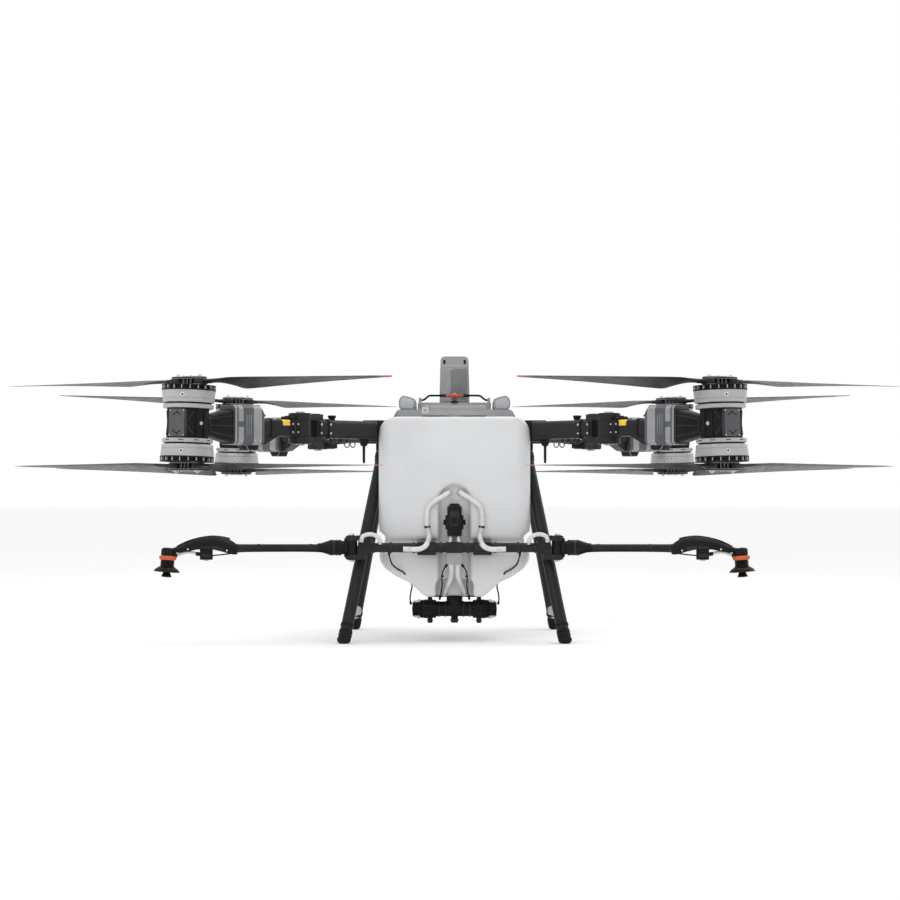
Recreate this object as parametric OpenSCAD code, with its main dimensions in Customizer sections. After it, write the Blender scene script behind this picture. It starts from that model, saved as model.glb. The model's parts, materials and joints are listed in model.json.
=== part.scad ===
// Agricultural spray drone: four folding arms, eight coaxial rotors, spray lances on a rear bar.
// Units are millimetres. X is to the right seen from the rear, Y is forward, Z is up.
// The origin is on the ground under the centre.

/* [Layout] */
// Distance of each motor axis from the centre, along X and along Y
motor_xy = 823; // [818:1:840]
// Distance of each arm's fold pin from the centre, along X and along Y
hinge_xy = 498; // [490:1:506]
// Height of the arm tubes' centre line
arm_z = 700; // [698:1:702]
// Height of the middle of each motor stack
stack_z = 706.5; // [704:0.5:709]
// Inward lean of the rotor axes, in degrees
cant = 2; // [0:0.5:3]

/* [Propellers] */
// Radius from the rotor axis to a blade tip
prop_r = 787; // [770:1:790]
// Distance of a blade's fold pin from the rotor axis
blade_pin_r = 45; // [44:1:46]
// Angle of the rear upper propellers at rest, outer tip forward
rear_upper_angle = 35.5; // [30:0.5:45]
// Angle of the rear lower propellers at rest, outer tip forward
rear_lower_angle = 38.5; // [30:0.5:45]
// Angle of the front propellers at rest, outer tip rearward
front_angle = 41.5; // [30:0.5:45]
// Pitch of the blade at its widest station, in degrees
root_pitch = 13; // [10:1:18]
// Pitch of the blade at its tip, in degrees
tip_pitch = 5; // [4:1:8]

/* [Arms] */
// Width and height of the fixed root tube
root_tube = 60; // [56:1:60]
// Width and height of the folding arm tube
arm_tube = 53; // [50:1:53]
// Wall thickness of the arm tubes
tube_wall = 3; // [2:0.5:4]
// Plan angle of the fixed root tubes from the X axis, in degrees
root_angle = 50; // [49:0.5:51]
// Radius of the arm's fold pin
hinge_pin_r = 9; // [8:0.5:10]

/* [Tank] */
// Half width of the tank
tank_hw = 254; // [250:1:254]
// Rear face of the tank, along Y
tank_rear = -285; // [-286:1:-284]
// Front face of the tank, along Y
tank_front = 58; // [50:1:58]
// Top of the tank
tank_top = 746; // [740:1:746]
// Wall thickness of the tank
tank_wall = 5; // [4:0.5:6]

/* [Landing gear] */
// Half the distance between the feet, along X
foot_x = 363; // [355:1:370]
// Half the distance between the feet, along Y
foot_y = 400; // [395:1:405]
// Radius of a leg tube
leg_r = 20; // [18:0.5:20]

/* [Spray gear] */
// Height of the spray bar
bar_z = 312; // [310:1:314]
// Place of the spray bar along Y
bar_y = -335; // [-336:1:-334]
// Radius of the spray bar
bar_r = 15.6; // [14:0.2:16]
// Distance of each lance's fold pin from the centre
lance_pin_x = 340; // [339:1:342]
// Distance of each spray head from the centre
nozzle_x = 942; // [930:1:950]
// Outward lean of the spray heads' lower ends, in degrees
nozzle_lean = 4.5; // [0:0.5:6]

/* [Fits] */
// Radial clearance between a pin or shaft and its hole
run_gap = 0.05; // [0.02:0.01:0.08]
// Clearance between faces that slide past each other
face_gap = 0.6; // [0.4:0.1:1]

/* [Hidden] */
$fn = 48;

// Colours
tank_white = [0.86, 0.87, 0.88];
shell_grey = [0.66, 0.67, 0.69];
motor_grey = [0.70, 0.71, 0.73];
esc_grey = [0.45, 0.47, 0.50];
charcoal = [0.17, 0.18, 0.19];
black = [0.08, 0.08, 0.09];
orange = [0.93, 0.36, 0.10];

// Places along an arm, measured from the centre on the 45 degree line
hinge_u = hinge_xy * sqrt(2);
motor_u = motor_xy * sqrt(2);
esc_u = 946;
esc_len = 122;
esc_w = 76;
esc_low = 644;
esc_high = 768;
esc_start = esc_u - esc_len / 2;
lug_r = 36;
lug_h = arm_tube;
fork_h = 20;

// Heights in a motor stack, measured from its middle towards the propeller
pod_h = 47.5;
rim_h = 59.5;
bell_h = 64.5;
bell_top = 101.5;
ring_top = 118.5;
blade_h = 130;
plate_h = 138.5;
plate_top = 145.5;
pod_w = 126;
bell_r = 79;
ring_r = 84;
shaft_r = 12;
blade_pin = 6;

// The frame's side rails
rail_in = 203;
rail_out = 240;
rail_low = 662;
rail_high = 735;
rail_rear = -205;
rail_front = 350;

// Accessory holes under the nose
accessory_r = 3.3;

// Front camera
camera_z = 688;
camera_pin = 3;

// Battery bay
bay_hw = 130;
bay_rear = 72;
bay_front = 262;
bay_floor = 505;
bay_wall = 4;
battery_gap = 3;
battery_top = 813;

// Legs: each axis runs from the foot to the underside of a rail
leg_top = [235, 130, rail_low];
leg_foot = [foot_x, foot_y, 0];
leg_turn = 37;
cap_z = 44;

// ---------------------------------------------------------------- helpers

// Moves the front right corner's shape to another corner
module corner(side, end) {
    mirror([side < 0 ? 1 : 0, 0, 0])
        mirror([0, end < 0 ? 1 : 0, 0])
            children();
}

// Repeats the front right corner's shape at all four corners
module all_corners() {
    for (side = [-1, 1])
        for (end = [-1, 1])
            corner(side, end)
                children();
}

// Repeats the right side's shape on both sides
module both_sides() {
    for (side = [-1, 1])
        corner(side, 1)
            children();
}

// Box given by its lowest and highest corners
module box(low, high) {
    translate(low)
        cube(high - low);
}

// Cylinder between two points, turned about its own axis
module rod(from, to, r, turn = 0) {
    v = to - from;
    len = norm(v);
    translate(from)
        rotate([0, acos(v.z / len), atan2(v.y, v.x)])
            rotate([0, 0, turn])
                cylinder(r = r, h = len);
}

// Cone between two points
module taper(from, to, r1, r2) {
    v = to - from;
    len = norm(v);
    translate(from)
        rotate([0, acos(v.z / len), atan2(v.y, v.x)])
            cylinder(r1 = r1, r2 = r2, h = len);
}

// Rectangle with round corners, centred
module round_rect(w, h, r) {
    union() {
        square([w - 2 * r, h], center = true);
        square([w, h - 2 * r], center = true);
        for (x = [-1, 1])
            for (y = [-1, 1])
                translate([x * (w / 2 - r), y * (h / 2 - r)])
                    circle(r);
    }
}

// Square tube with round corners, running along +X from x1 to x2
module square_tube(x1, x2, w, wall) {
    translate([x1, 0, 0])
        rotate([90, 0, 90])
            linear_extrude(height = x2 - x1)
                difference() {
                    round_rect(w, w, 12);
                    round_rect(w - 2 * wall, w - 2 * wall, 12 - wall);
                }
}

// Point on a Catmull-Rom curve
function spline_point(p, i, t) =
    let (a = p[max(i - 1, 0)], b = p[i], c = p[i + 1], d = p[min(i + 2, len(p) - 1)])
    0.5 * (2 * b + (c - a) * t + (2 * a - 5 * b + 4 * c - d) * t * t
        + (3 * b - a - 3 * c + d) * t * t * t);

function spline(p, steps) = [
    for (i = [0 : len(p) - 2])
        for (s = [0 : steps - 1])
            spline_point(p, i, s / steps),
    p[len(p) - 1]
];

function unit(v) = v / norm(v);

// Faces of a tube with the given number of steps along it and sides round it
function tube_faces(steps, sides) = concat(
    [
        for (i = [0 : steps - 1])
            for (k = [0 : sides - 1])
                let (
                    a = i * sides + k,
                    b = i * sides + (k + 1) % sides
                )
                each [[a, b, a + sides], [b, b + sides, a + sides]]
    ],
    [
        [for (k = [0 : sides - 1]) sides - 1 - k],
        [for (k = [0 : sides - 1]) steps * sides + k]
    ]
);

// Smooth tube of radius r along the route through hand-placed points
module hose(route, r, steps = 3, sides = 8) {
    path = spline(route, steps);
    last = len(path) - 1;
    rings = [
        for (i = [0 : last])
            let (
                along = unit(path[min(i + 1, last)] - path[max(i - 1, 0)]),
                side = unit(cross(along, [0.05, 1, 0.02])),
                other = cross(along, side)
            )
            for (k = [0 : sides - 1])
                path[i] + r * (side * cos(360 * k / sides) + other * sin(360 * k / sides))
    ];
    polyhedron(points = rings, faces = tube_faces(last, sides));
}

// ---------------------------------------------------------------- tank

// Filler opening and the lid's hinge line
filler_y = -212;
filler_r = 45;
lid_rear = -268;
lid_hinge_y = -148;
lid_hinge_z = tank_top + 9;

// Outline seen from the rear: square shoulders above, a keel-shaped hull below
module tank_outline(inset) {
    hw = tank_hw - inset;
    top_r = 60 - inset;
    union() {
        translate([0, (tank_top + 330) / 2])
            round_rect(2 * hw, tank_top - 330 - 2 * inset, top_r);
        translate([-hw, 350])
            square([2 * hw, 120]);
        polygon([
            [-hw + 26, 352], [-hw + 18, 316], [-hw + 2, 292], [-hw + 4, 268],
            [-hw + 24, 240], [-hw + 62, 214], [-hw + 102, 196],
            [-112 + inset, 160], [-96 + inset, 147 + inset],
            [96 - inset, 147 + inset], [112 - inset, 160],
            [hw - 102, 196], [hw - 62, 214], [hw - 24, 240],
            [hw - 4, 268], [hw - 2, 292], [hw - 18, 316], [hw - 26, 352]
        ]);
    }
}

// Plan: a wide head at the rear, and a narrower body between the rails and legs
module tank_plan(inset, high) {
    head_r = 57 - inset;
    head_front = tank_rear + 57;
    body_hw = 200 - inset;
    translate([0, 0, 100])
        linear_extrude(height = high)
            union() {
                translate([-tank_hw + 57, tank_rear + inset])
                    square([2 * (tank_hw - 57), 57 - inset]);
                for (x = [-1, 1])
                    intersection() {
                        translate([x * (tank_hw - 57), head_front])
                            circle(head_r);
                        translate([-300, tank_rear])
                            square([600, 57 - inset]);
                    }
                translate([-body_hw, head_front - 40])
                    square([2 * body_hw, tank_front - inset - head_front + 40]);
            }
}

module tank_solid(inset) {
    intersection() {
        translate([0, 100, 0])
            rotate([90, 0, 0])
                linear_extrude(height = 400)
                    tank_outline(inset);
        tank_plan(inset, 700);
    }
}

// Opening in the top under the lid
module filler_hole() {
    translate([0, filler_y, tank_top - 20])
        cylinder(r = filler_r, h = 60);
}

// Two lugs and the hinge pin of the lid
module lid_hinge() {
    translate([0, lid_hinge_y, lid_hinge_z])
        rotate([0, 90, 0])
            cylinder(r = 2.5, h = 120, center = true);
    both_sides()
        translate([52, lid_hinge_y, lid_hinge_z])
            rotate([0, 90, 0])
                cylinder(r = 5, h = 8);
    both_sides()
        box([52, lid_hinge_y - 5, tank_top - 1], [60, lid_hinge_y + 5, lid_hinge_z]);
}

// Channel in the rear face for the valve unit and its hoses
module rear_channel(depth, half_width) {
    box([-half_width, tank_rear - 5, 120], [half_width, tank_rear + depth, 470]);
    translate([0, tank_rear + depth, 470])
        rotate([90, 0, 0])
            cylinder(r = half_width, h = depth + 5);
}

// Groove across the rear face behind the spray bar
module bar_groove(depth, grow) {
    box([-300, tank_rear - 5, bar_z - 18 - grow], [300, tank_rear + depth, bar_z + 26 + grow]);
}

module tank() {
    color(tank_white)
        difference() {
            union() {
                difference() {
                    tank_solid(0);
                    rear_channel(30, 50);
                    bar_groove(16, 0);
                }
                translate([0, filler_y, tank_top - 1])
                    cylinder(r = filler_r + 7, h = 8);
                lid_hinge();
            }
            difference() {
                tank_solid(tank_wall);
                rear_channel(30 + tank_wall, 50 + tank_wall);
                bar_groove(16 + tank_wall, tank_wall);
            }
            filler_hole();
        }
}

// Lid over the filler opening, hinged at its front edge
module filler_lid() {
    color(shell_grey)
        difference() {
            union() {
                translate([-1.5, (lid_hinge_y - 7 + lid_rear) / 2, tank_top + 3])
                    linear_extrude(height = 34)
                        round_rect(217, lid_hinge_y - 7 - lid_rear, 12);
                translate([0, lid_hinge_y, lid_hinge_z])
                    rotate([0, 90, 0])
                        cylinder(r = 5, h = 102, center = true);
                box([-51, lid_hinge_y - 9, lid_hinge_z - 4], [51, lid_hinge_y - 3, lid_hinge_z + 4]);
            }
            translate([0, filler_y, tank_top])
                cylinder(r = filler_r + 10, h = 12);
            translate([0, lid_hinge_y, lid_hinge_z])
                rotate([0, 90, 0])
                    cylinder(r = 2.5 + run_gap, h = 110, center = true);
        }
}

// ---------------------------------------------------------------- frame and shell

module center_frame() {
    color(charcoal) {
        // Side rails
        both_sides()
            difference() {
                box([rail_in, rail_rear, rail_low], [rail_out, rail_front, rail_high]);
                box([rail_in + 4, rail_rear - 1, rail_low + 4], [rail_out - 4, rail_front + 1, rail_high - 4]);
            }
        // Battery bay: two cross plates, side walls and a floor
        difference() {
            box([-rail_in, bay_rear - bay_wall, bay_floor], [rail_in, bay_front + bay_wall, rail_high]);
            box([-bay_hw, bay_rear, bay_floor + bay_wall], [bay_hw, bay_front, rail_high + 1]);
            both_sides()
                box([bay_hw + bay_wall, bay_rear, bay_floor - 1], [rail_in + 1, bay_front, rail_high + 1]);
        }
        // Nose box that holds the flight controller and carries the camera
        difference() {
            box([-150, bay_front + bay_wall, 640], [150, rail_front, rail_high]);
            box([-146, bay_front + 2 * bay_wall, 644], [146, rail_front - 4, rail_high - 4]);
            box([-40, rail_front - 6, 660], [40, rail_front + 1, 716]);
            // Accessory holes in the underside
            for (x = [-100, 100])
                for (y = [290, 330])
                    translate([x, y, 630])
                        cylinder(r = accessory_r, h = 20);
        }
        both_sides() {
            box([150, rail_front - 30, rail_low], [rail_in, rail_front, rail_high]);
            // Pin that the camera tilts on
            translate([30, rail_front, camera_z])
                rotate([0, 90, 0])
                    cylinder(r = camera_pin, h = 14);
        }
    }
}

// Grey cover over the rails with two raised guide blocks beside the battery
module body_shell() {
    color(shell_grey) {
        difference() {
            translate([0, rail_front, 0])
                rotate([90, 0, 0])
                    linear_extrude(height = rail_front + 85)
                        polygon([
                            [-216, rail_high], [-rail_in, rail_high], [-rail_in, tank_top + 4],
                            [rail_in, tank_top + 4], [rail_in, rail_high], [216, rail_high],
                            [197, 771], [190, 775], [-190, 775], [-197, 771]
                        ]);
            box([-bay_hw, bay_rear, 700], [bay_hw, bay_front, 800]);
            box([-60, 272, 700], [60, 332, 800]);
        }
        both_sides()
            translate([0, 240, 0])
                rotate([90, 0, 0])
                    linear_extrude(height = 300)
                        polygon([
                            [140, 775], [180, 775], [190, 785], [190, 808], [184, 819],
                            [174, 825], [150, 819], [134, 812], [134, 783]
                        ]);
    }
}

// Antenna mast behind the battery
module sensor_mast() {
    color(shell_grey)
        translate([0, 302, 0])
            rotate([90, 0, 0])
                translate([0, 0, -27])
                    linear_extrude(height = 54)
                        difference() {
                            polygon([
                                [-54, rail_high], [54, rail_high], [53, 860], [50, 962], [47, 972], [38, 977],
                                [-38, 977], [-47, 972], [-50, 962], [-53, 860]
                            ]);
                            translate([-46, rail_high + 8])
                                square([92, 20]);
                        }
}

// Point on a leg's axis at a given height
function leg_at(z) = leg_foot + (leg_top - leg_foot) * (z / leg_top.z);

// Four tubular legs, each held in a block under its rail
module landing_legs() {
    color(charcoal)
        all_corners() {
            rod(leg_at(cap_z), leg_at(rail_low - 14), leg_r, leg_turn);
            box([206, 96, rail_low - 28], [264, 166, rail_low]);
        }
}

// Rubber caps with a flat sole
module foot_caps() {
    color(black)
        all_corners() {
            rod(leg_at(14), leg_at(cap_z), leg_r + 1.5, leg_turn);
            translate([leg_at(9).x, leg_at(9).y, 0])
                cylinder(r = leg_r + 3, h = 18);
        }
}

// ---------------------------------------------------------------- arms

// Direction of the fixed root tube: local +X runs outward from the rail to the fold pin
module root_frame() {
    translate([hinge_xy, hinge_xy, arm_z])
        rotate([0, 0, root_angle])
            children();
}

module arm_root() {
    difference() {
        union() {
            root_frame()
                square_tube(-420, -52, root_tube, tube_wall);
            root_frame()
                box([-70, -root_tube / 2, -root_tube / 2], [-50, root_tube / 2, root_tube / 2]);
            box([rail_out, 165, rail_low + 3], [306, 222, rail_high]);
            // Fork lugs above and below the arm's lug
            for (up = [-1, 1])
                root_frame()
                    translate([0, 0, up * (lug_h / 2 + face_gap + fork_h / 2)])
                        difference() {
                            union() {
                                cylinder(r = lug_r + 2, h = fork_h, center = true);
                                translate([-44, 0, 0])
                                    cube([66, root_tube, fork_h], center = true);
                            }
                            cylinder(r = hinge_pin_r, h = fork_h + 2, center = true);
                        }
        }
        // The tank's head and the rail stay clear
        box([0, 0, 500], [rail_out, 600, 900]);
        box([0, 223, 500], [257, 600, 900]);
    }
}

module arm_roots() {
    color(charcoal)
        all_corners()
            arm_root();
}

module hinge_pins() {
    color(motor_grey)
        all_corners()
            translate([hinge_xy, hinge_xy, arm_z]) {
                half = lug_h / 2 + face_gap + fork_h;
                cylinder(r = hinge_pin_r, h = 2 * half, center = true);
                for (up = [0, 1])
                    mirror([0, 0, up])
                        translate([0, 0, half])
                            cylinder(r = 14, h = 6);
            }
}

// Local +X runs outward along the arm from the centre
module arm_frame() {
    rotate([0, 0, 45])
        translate([0, 0, arm_z])
            children();
}

module arm_part() {
    wedge_w = 40;
    wedge_len = 74;
    color(charcoal)
        arm_frame()
            difference() {
                union() {
                    translate([hinge_u, 0, 0])
                        cylinder(r = lug_r, h = lug_h, center = true);
                    square_tube(hinge_u + 30, esc_start, arm_tube, tube_wall);
                    box([hinge_u + 20, -arm_tube / 2, -arm_tube / 2], [hinge_u + 40, arm_tube / 2, arm_tube / 2]);
                    // Wedge under the tube that carries the speed controller
                    translate([0, wedge_w / 2, 0])
                        rotate([90, 0, 0])
                            linear_extrude(height = wedge_w)
                                polygon([
                                    [esc_start - wedge_len, -arm_tube / 2 + 1], [esc_start, -arm_tube / 2 + 1],
                                    [esc_start, esc_low - arm_z + 2], [esc_start - 16, esc_low - arm_z + 2]
                                ]);
                }
                translate([hinge_u, 0, 0])
                    cylinder(r = hinge_pin_r + run_gap, h = lug_h + 2, center = true);
            }
}

// Speed controller housing: a block with chamfered corners
module esc_part() {
    color(esc_grey)
        rotate([0, 0, 45]) {
            translate([esc_u, 0, esc_low])
                linear_extrude(height = esc_high - esc_low)
                    polygon([
                        [-esc_len / 2, -esc_w / 2 + 10], [-esc_len / 2 + 10, -esc_w / 2],
                        [esc_len / 2 - 10, -esc_w / 2], [esc_len / 2, -esc_w / 2 + 10],
                        [esc_len / 2, esc_w / 2 - 10], [esc_len / 2 - 10, esc_w / 2],
                        [-esc_len / 2 + 10, esc_w / 2], [-esc_len / 2, esc_w / 2 - 10]
                    ]);
        }
}

// ---------------------------------------------------------------- motors

// Local frame of a motor stack: +Z runs up the rotor axis from the middle of the stack
module stack_frame() {
    rotate([0, 0, 45])
        translate([motor_u, 0, stack_z])
            rotate([0, -cant, 0])
                children();
}

module mount_part() {
    stator_r = 66;
    stator_h = 30;
    color(black) {
        stack_frame() {
            rotate([0, 0, 22.5])
                cylinder(d = pod_w / cos(22.5), h = 2 * pod_h, center = true, $fn = 8);
            for (up = [0, 1])
                mirror([0, 0, up]) {
                    translate([0, 0, pod_h])
                        cylinder(r = bell_r - 1, h = rim_h - pod_h);
                    translate([0, 0, rim_h])
                        cylinder(r = stator_r, h = stator_h);
                    cylinder(r = shaft_r, h = ring_top - 2);
                }
        }
        sleeve();
    }
}

// Sleeve that narrows from the speed controller to the motor pod
module sleeve() {
    wide_x = esc_u + esc_len / 2;
    narrow_x = motor_u - pod_w / 2 + 2;
    rotate([0, 0, 45])
        hull() {
            translate([wide_x, 0, arm_z + 2])
                rotate([90, 0, 90])
                    linear_extrude(height = 6)
                        round_rect(esc_w - 4, 106, 16, $fn = 32);
            translate([narrow_x, 0, arm_z + 2])
                rotate([90, 0, 90])
                    linear_extrude(height = 2)
                        round_rect(52, 54, 14, $fn = 32);
        }
}

// Turns a shape from local +X to the outer blade's direction at rest
module blade_line(angle) {
    rotate([0, 0, -angle - 45])
        children();
}

// One rotor: bell, slotted ring, hub plates and the two blade pins
module rotor_part(up, angle) {
    slots = 16;
    color(motor_grey)
        stack_frame()
            mirror([0, 0, up > 0 ? 0 : 1])
                difference() {
                    union() {
                        bell();
                        difference() {
                            translate([0, 0, bell_top])
                                cylinder(r = ring_r, h = ring_top - bell_top);
                            translate([0, 0, bell_top + 3])
                                cylinder(r = ring_r - 16, h = ring_top);
                            for (k = [0 : slots - 1])
                                rotate([0, 0, 360 * k / slots])
                                    box([ring_r - 30, -5, bell_top + 3], [ring_r + 5, 5, ring_top - 4]);
                        }
                        translate([0, 0, bell_top])
                            cylinder(r = 30, h = ring_top - bell_top);
                        blade_line(angle)
                            hub();
                    }
                    translate([0, 0, bell_top - 20])
                        cylinder(r = shaft_r + run_gap, h = ring_top - bell_top + 19);
                }
}

module bell() {
    difference() {
        translate([0, 0, bell_h])
            cylinder(r1 = bell_r, r2 = bell_r + 4, h = bell_top - bell_h);
        translate([0, 0, bell_h - 1])
            cylinder(r = bell_r - 6, h = bell_top - bell_h - 4);
    }
}

// Two plates with the blade pins between them, and the bolt heads on top
module hub() {
    sunk = 1;
    low_plate = 3.5;
    translate([0, 0, ring_top - sunk])
        linear_extrude(height = low_plate + sunk)
            round_rect(130, 38, 16);
    translate([-22, -17, ring_top])
        cube([44, 34, plate_h - ring_top + sunk]);
    translate([0, 0, plate_h])
        linear_extrude(height = plate_top - plate_h)
            round_rect(130, 34, 14);
    for (x = [-blade_pin_r, blade_pin_r])
        translate([x, 0, 0]) {
            translate([0, 0, ring_top])
                cylinder(r = blade_pin, h = plate_top - ring_top - sunk);
            translate([0, 0, plate_top - sunk])
                cylinder(r = 9, h = 4 + sunk);
            translate([0, 0, plate_top])
                cylinder(r = 4, h = 8);
        }
}

// Chord of the blade at a distance from the rotor axis
function chord(r) = lookup(r, [
    [104, 34], [128, 64], [150, 108], [190, 118], [250, 113], [400, 90], [600, 58], [740, 34], [787, 16]
]);

// Thickness of the blade at a distance from the rotor axis
function thickness(r) = lookup(r, [[104, 12], [170, 9], [300, 6], [787, 2]]);

function pitch(r) = root_pitch + (tip_pitch - root_pitch) * max(0, r - 190) / (prop_r - 190);

// Distance of the leading edge ahead of the blade's line
function lead_edge(r) = lookup(r, [[104, 17], [190, 34], [400, 30], [787, 12]]);

// Eight points of the blade's section, as [across, up]
section_shape = [[0, 0], [0.12, 0.5], [0.4, 0.62], [0.75, 0.35], [1, 0.05], [0.75, -0.12], [0.4, -0.38], [0.12, -0.38]];

// Blade along +X; lead is the side, -1 or 1, of its leading edge
module airfoil(lead) {
    stations = [104, 128, 150, 190, 250, 400, 600, 740, 779, prop_r];
    sides = len(section_shape);
    last = len(stations) - 1;
    points = [
        for (r = stations)
            for (p = section_shape)
                let (
                    across = lead * (lead_edge(r) - p.x * chord(r)),
                    up = -lead * p.y * thickness(r),
                    turn = -pitch(r) * min(1, (r - 90) / 60)
                )
                [r, across * cos(turn) - up * sin(turn), across * sin(turn) + up * cos(turn)]
    ];
    polyhedron(points = points, faces = tube_faces(last, sides));
}

// One folding blade; up is 1 or -1 for the upper or lower propeller, out is 1 or -1
module blade_part(up, angle, out) {
    boss_h = 15;
    root_w = 30;
    color(black)
        stack_frame()
            mirror([0, 0, up > 0 ? 0 : 1])
                blade_line(angle)
                    rotate([0, 0, out > 0 ? 0 : 180])
                        translate([0, 0, blade_h + 0.2])
                            difference() {
                                union() {
                                    translate([blade_pin_r, 0, 0])
                                        cylinder(r = root_w / 2, h = boss_h, center = true);
                                    translate([blade_pin_r, -root_w / 2, -6])
                                        cube([66, root_w, 12]);
                                    airfoil(up > 0 ? -1 : 1);
                                }
                                translate([blade_pin_r, 0, 0])
                                    cylinder(r = blade_pin + run_gap, h = boss_h + 2, center = true);
                            }
}

// ---------------------------------------------------------------- spray gear

// Fork at each end of the bar; the lance's knuckle turns on its pin
knuckle_r = 20;
knuckle_h = 44;
lance_pin = 6;

module lance_fork() {
    fork_low = 16;
    fork_back = 292;
    half = knuckle_h / 2 + face_gap;
    translate([0, bar_y, bar_z]) {
        for (up = [0, 1])
            mirror([0, 0, up])
                translate([0, 0, half]) {
                    translate([lance_pin_x, 0, 0])
                        cylinder(r = knuckle_r - 1, h = fork_low);
                    translate([fork_back, -knuckle_r + 3, 0])
                        cube([lance_pin_x - fork_back, 2 * knuckle_r - 6, fork_low]);
                }
        box([fork_back, -knuckle_r + 3, -half - fork_low], [fork_back + 24, knuckle_r - 3, half + fork_low]);
        translate([lance_pin_x, 0, 0])
            cylinder(r = lance_pin, h = 84, center = true);
    }
}

// Bar, brackets, leg clamps, forks and the valve unit in the tank's channel
module spray_bar() {
    color(charcoal) {
        translate([0, bar_y, bar_z])
            rotate([0, 90, 0])
                cylinder(r = bar_r, h = 600, center = true);
        both_sides() {
            lance_fork();
            // Clamp that grips the rear leg
            box([272, bar_y - 17, bar_z - 22], [312, bar_y + 48, bar_z + 22]);
            // Bracket that joins the bar to the tank's groove
            difference() {
                box([62, bar_y - 20, bar_z - 24], [122, tank_rear + 15.5, bar_z + 24]);
                box([57, bar_y - 30, bar_z + 17.6], [127, tank_rear + 16, bar_z + 30]);
                box([57, tank_rear - 1, bar_z - 30], [127, tank_rear + 16, bar_z - 17.6]);
            }
        }
        box([-27, bar_y - 20, bar_z - 18], [27, tank_rear + 15.5, bar_z + 18]);
        box([-26, bar_y - 14, bar_z - 54], [26, tank_rear - 1, bar_z - 18]);
        // Valve unit
        box([-24, tank_rear - 28, 350], [24, tank_rear + 29.5, 446]);
        box([-30, tank_rear - 20, 372], [30, tank_rear + 20, 418]);
        for (x = [-13, 13])
            translate([x, tank_rear - 8, bar_z + 17])
                cylinder(r1 = 5, r2 = 9, h = 22);
    }
}

// Lance: knuckle, sleeve, cone, boom and the drooping housing of the spray head
module lance_part() {
    color(black)
        difference() {
            union() {
                translate([lance_pin_x, bar_y, bar_z])
                    cylinder(r = knuckle_r, h = knuckle_h, center = true);
                translate([lance_pin_x + 10, bar_y, bar_z])
                    rotate([0, 90, 0])
                        cylinder(r = 18, h = 30);
                rod([368, bar_y, bar_z], [408, bar_y, bar_z], 25);
                taper([408, bar_y, bar_z], [443, bar_y, bar_z], 25, 13);
                rod([443, bar_y, bar_z], [730, bar_y, bar_z], 11.5);
                translate([0, bar_y + 21, 0])
                    rotate([90, 0, 0])
                        linear_extrude(height = 42)
                            polygon([
                                [719, bar_z - 27], [730, bar_z + 16], [762, bar_z + 33], [800, bar_z + 36],
                                [850, bar_z + 30], [905, bar_z + 8], [930, bar_z - 2], [930, bar_z - 10],
                                [900, bar_z - 14], [850, bar_z - 4], [800, bar_z - 6], [770, bar_z - 14]
                            ]);
                box([795, bar_y - 15, bar_z - 42], [842, bar_y + 15, bar_z - 4]);
            }
            translate([lance_pin_x, bar_y, bar_z])
                cylinder(r = lance_pin + run_gap, h = knuckle_h + 2, center = true);
        }
}

// Local frame of the spray head: +Z points up its leaning axis, origin at its top cap
module head_frame() {
    translate([nozzle_x, bar_y, bar_z])
        rotate([0, -nozzle_lean, 0])
            children();
}

module nozzle_part() {
    color(orange)
        head_frame()
            difference() {
                union() {
                    translate([0, 0, -27])
                        cylinder(r = 22, h = 27);
                    translate([0, 0, -42])
                        cylinder(r = 27, h = 15);
                    translate([0, 0, -64])
                        cylinder(r = 22, h = 24);
                    translate([0, 0, -80])
                        cylinder(r1 = 43, r2 = 30, h = 16);
                    // Foot that meets the lance's housing
                    box([-22, -14, -13], [-10, 14, -3]);
                }
                translate([0, 0, -81])
                    cylinder(r = 24, h = 9);
                translate([0, 0, -81])
                    cylinder(r = 5 + run_gap, h = 30);
            }
}

// Spinning atomiser disc below the spray head
module disc_part() {
    color(black)
        head_frame()
            union() {
                translate([0, 0, -97])
                    cylinder(r = 16.5, h = 6);
                translate([0, 0, -91])
                    cylinder(r1 = 16.5, r2 = 10, h = 10);
                translate([0, 0, -82])
                    cylinder(r = 5, h = 30);
            }
}

// ---------------------------------------------------------------- pumps

pump_y = -190;
// Axis of the pumps, and the flat underside of the tank above them
pump_z = 103;
plate_z = 147;

module pump_unit() {
    color(black) {
        translate([0, pump_y, pump_z]) {
            rotate([0, 90, 0])
                cylinder(r = 25, h = 130, center = true);
            both_sides() {
                translate([64, 0, 0])
                    rotate([0, 90, 0])
                        cylinder(r = 31, h = 52);
                for (fin = [0 : 3])
                    translate([118 + 7 * fin, 0, 0])
                        rotate([0, 90, 0])
                            cylinder(r = 34 - 2 * fin, h = 4);
                translate([114, 0, 0])
                    rotate([0, 90, 0])
                        cylinder(r = 24, h = 26);
                translate([82, 0, -47])
                    cylinder(r = 8, h = 30);
                // Upright that carries the mounting plate
                box([75, -10, 0], [89, 10, plate_z - pump_z]);
            }
            cylinder(r = 27, h = 40);
            translate([0, 0, -45])
                cylinder(r = 12, h = 30);
        }
        // Mounting plate against the underside of the tank
        box([-89, pump_y - 10, plate_z - 4], [89, pump_y + 10, plate_z]);
    }
}

// ---------------------------------------------------------------- hoses and cables

hose_y = tank_rear - 9;

// Hose from the head of the channel round to the bar
upper_hose = [
    [14, tank_rear + 14, 496], [30, tank_rear - 6, 486], [62, hose_y, 466], [84, hose_y, 446],
    [91, hose_y, 420], [90, hose_y, 380], [84, hose_y - 4, 348],
    [92, bar_y - 25, 322], [112, bar_y - 27, 309], [140, bar_y - 27, 307], [168, bar_y - 24, 308]
];
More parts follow.
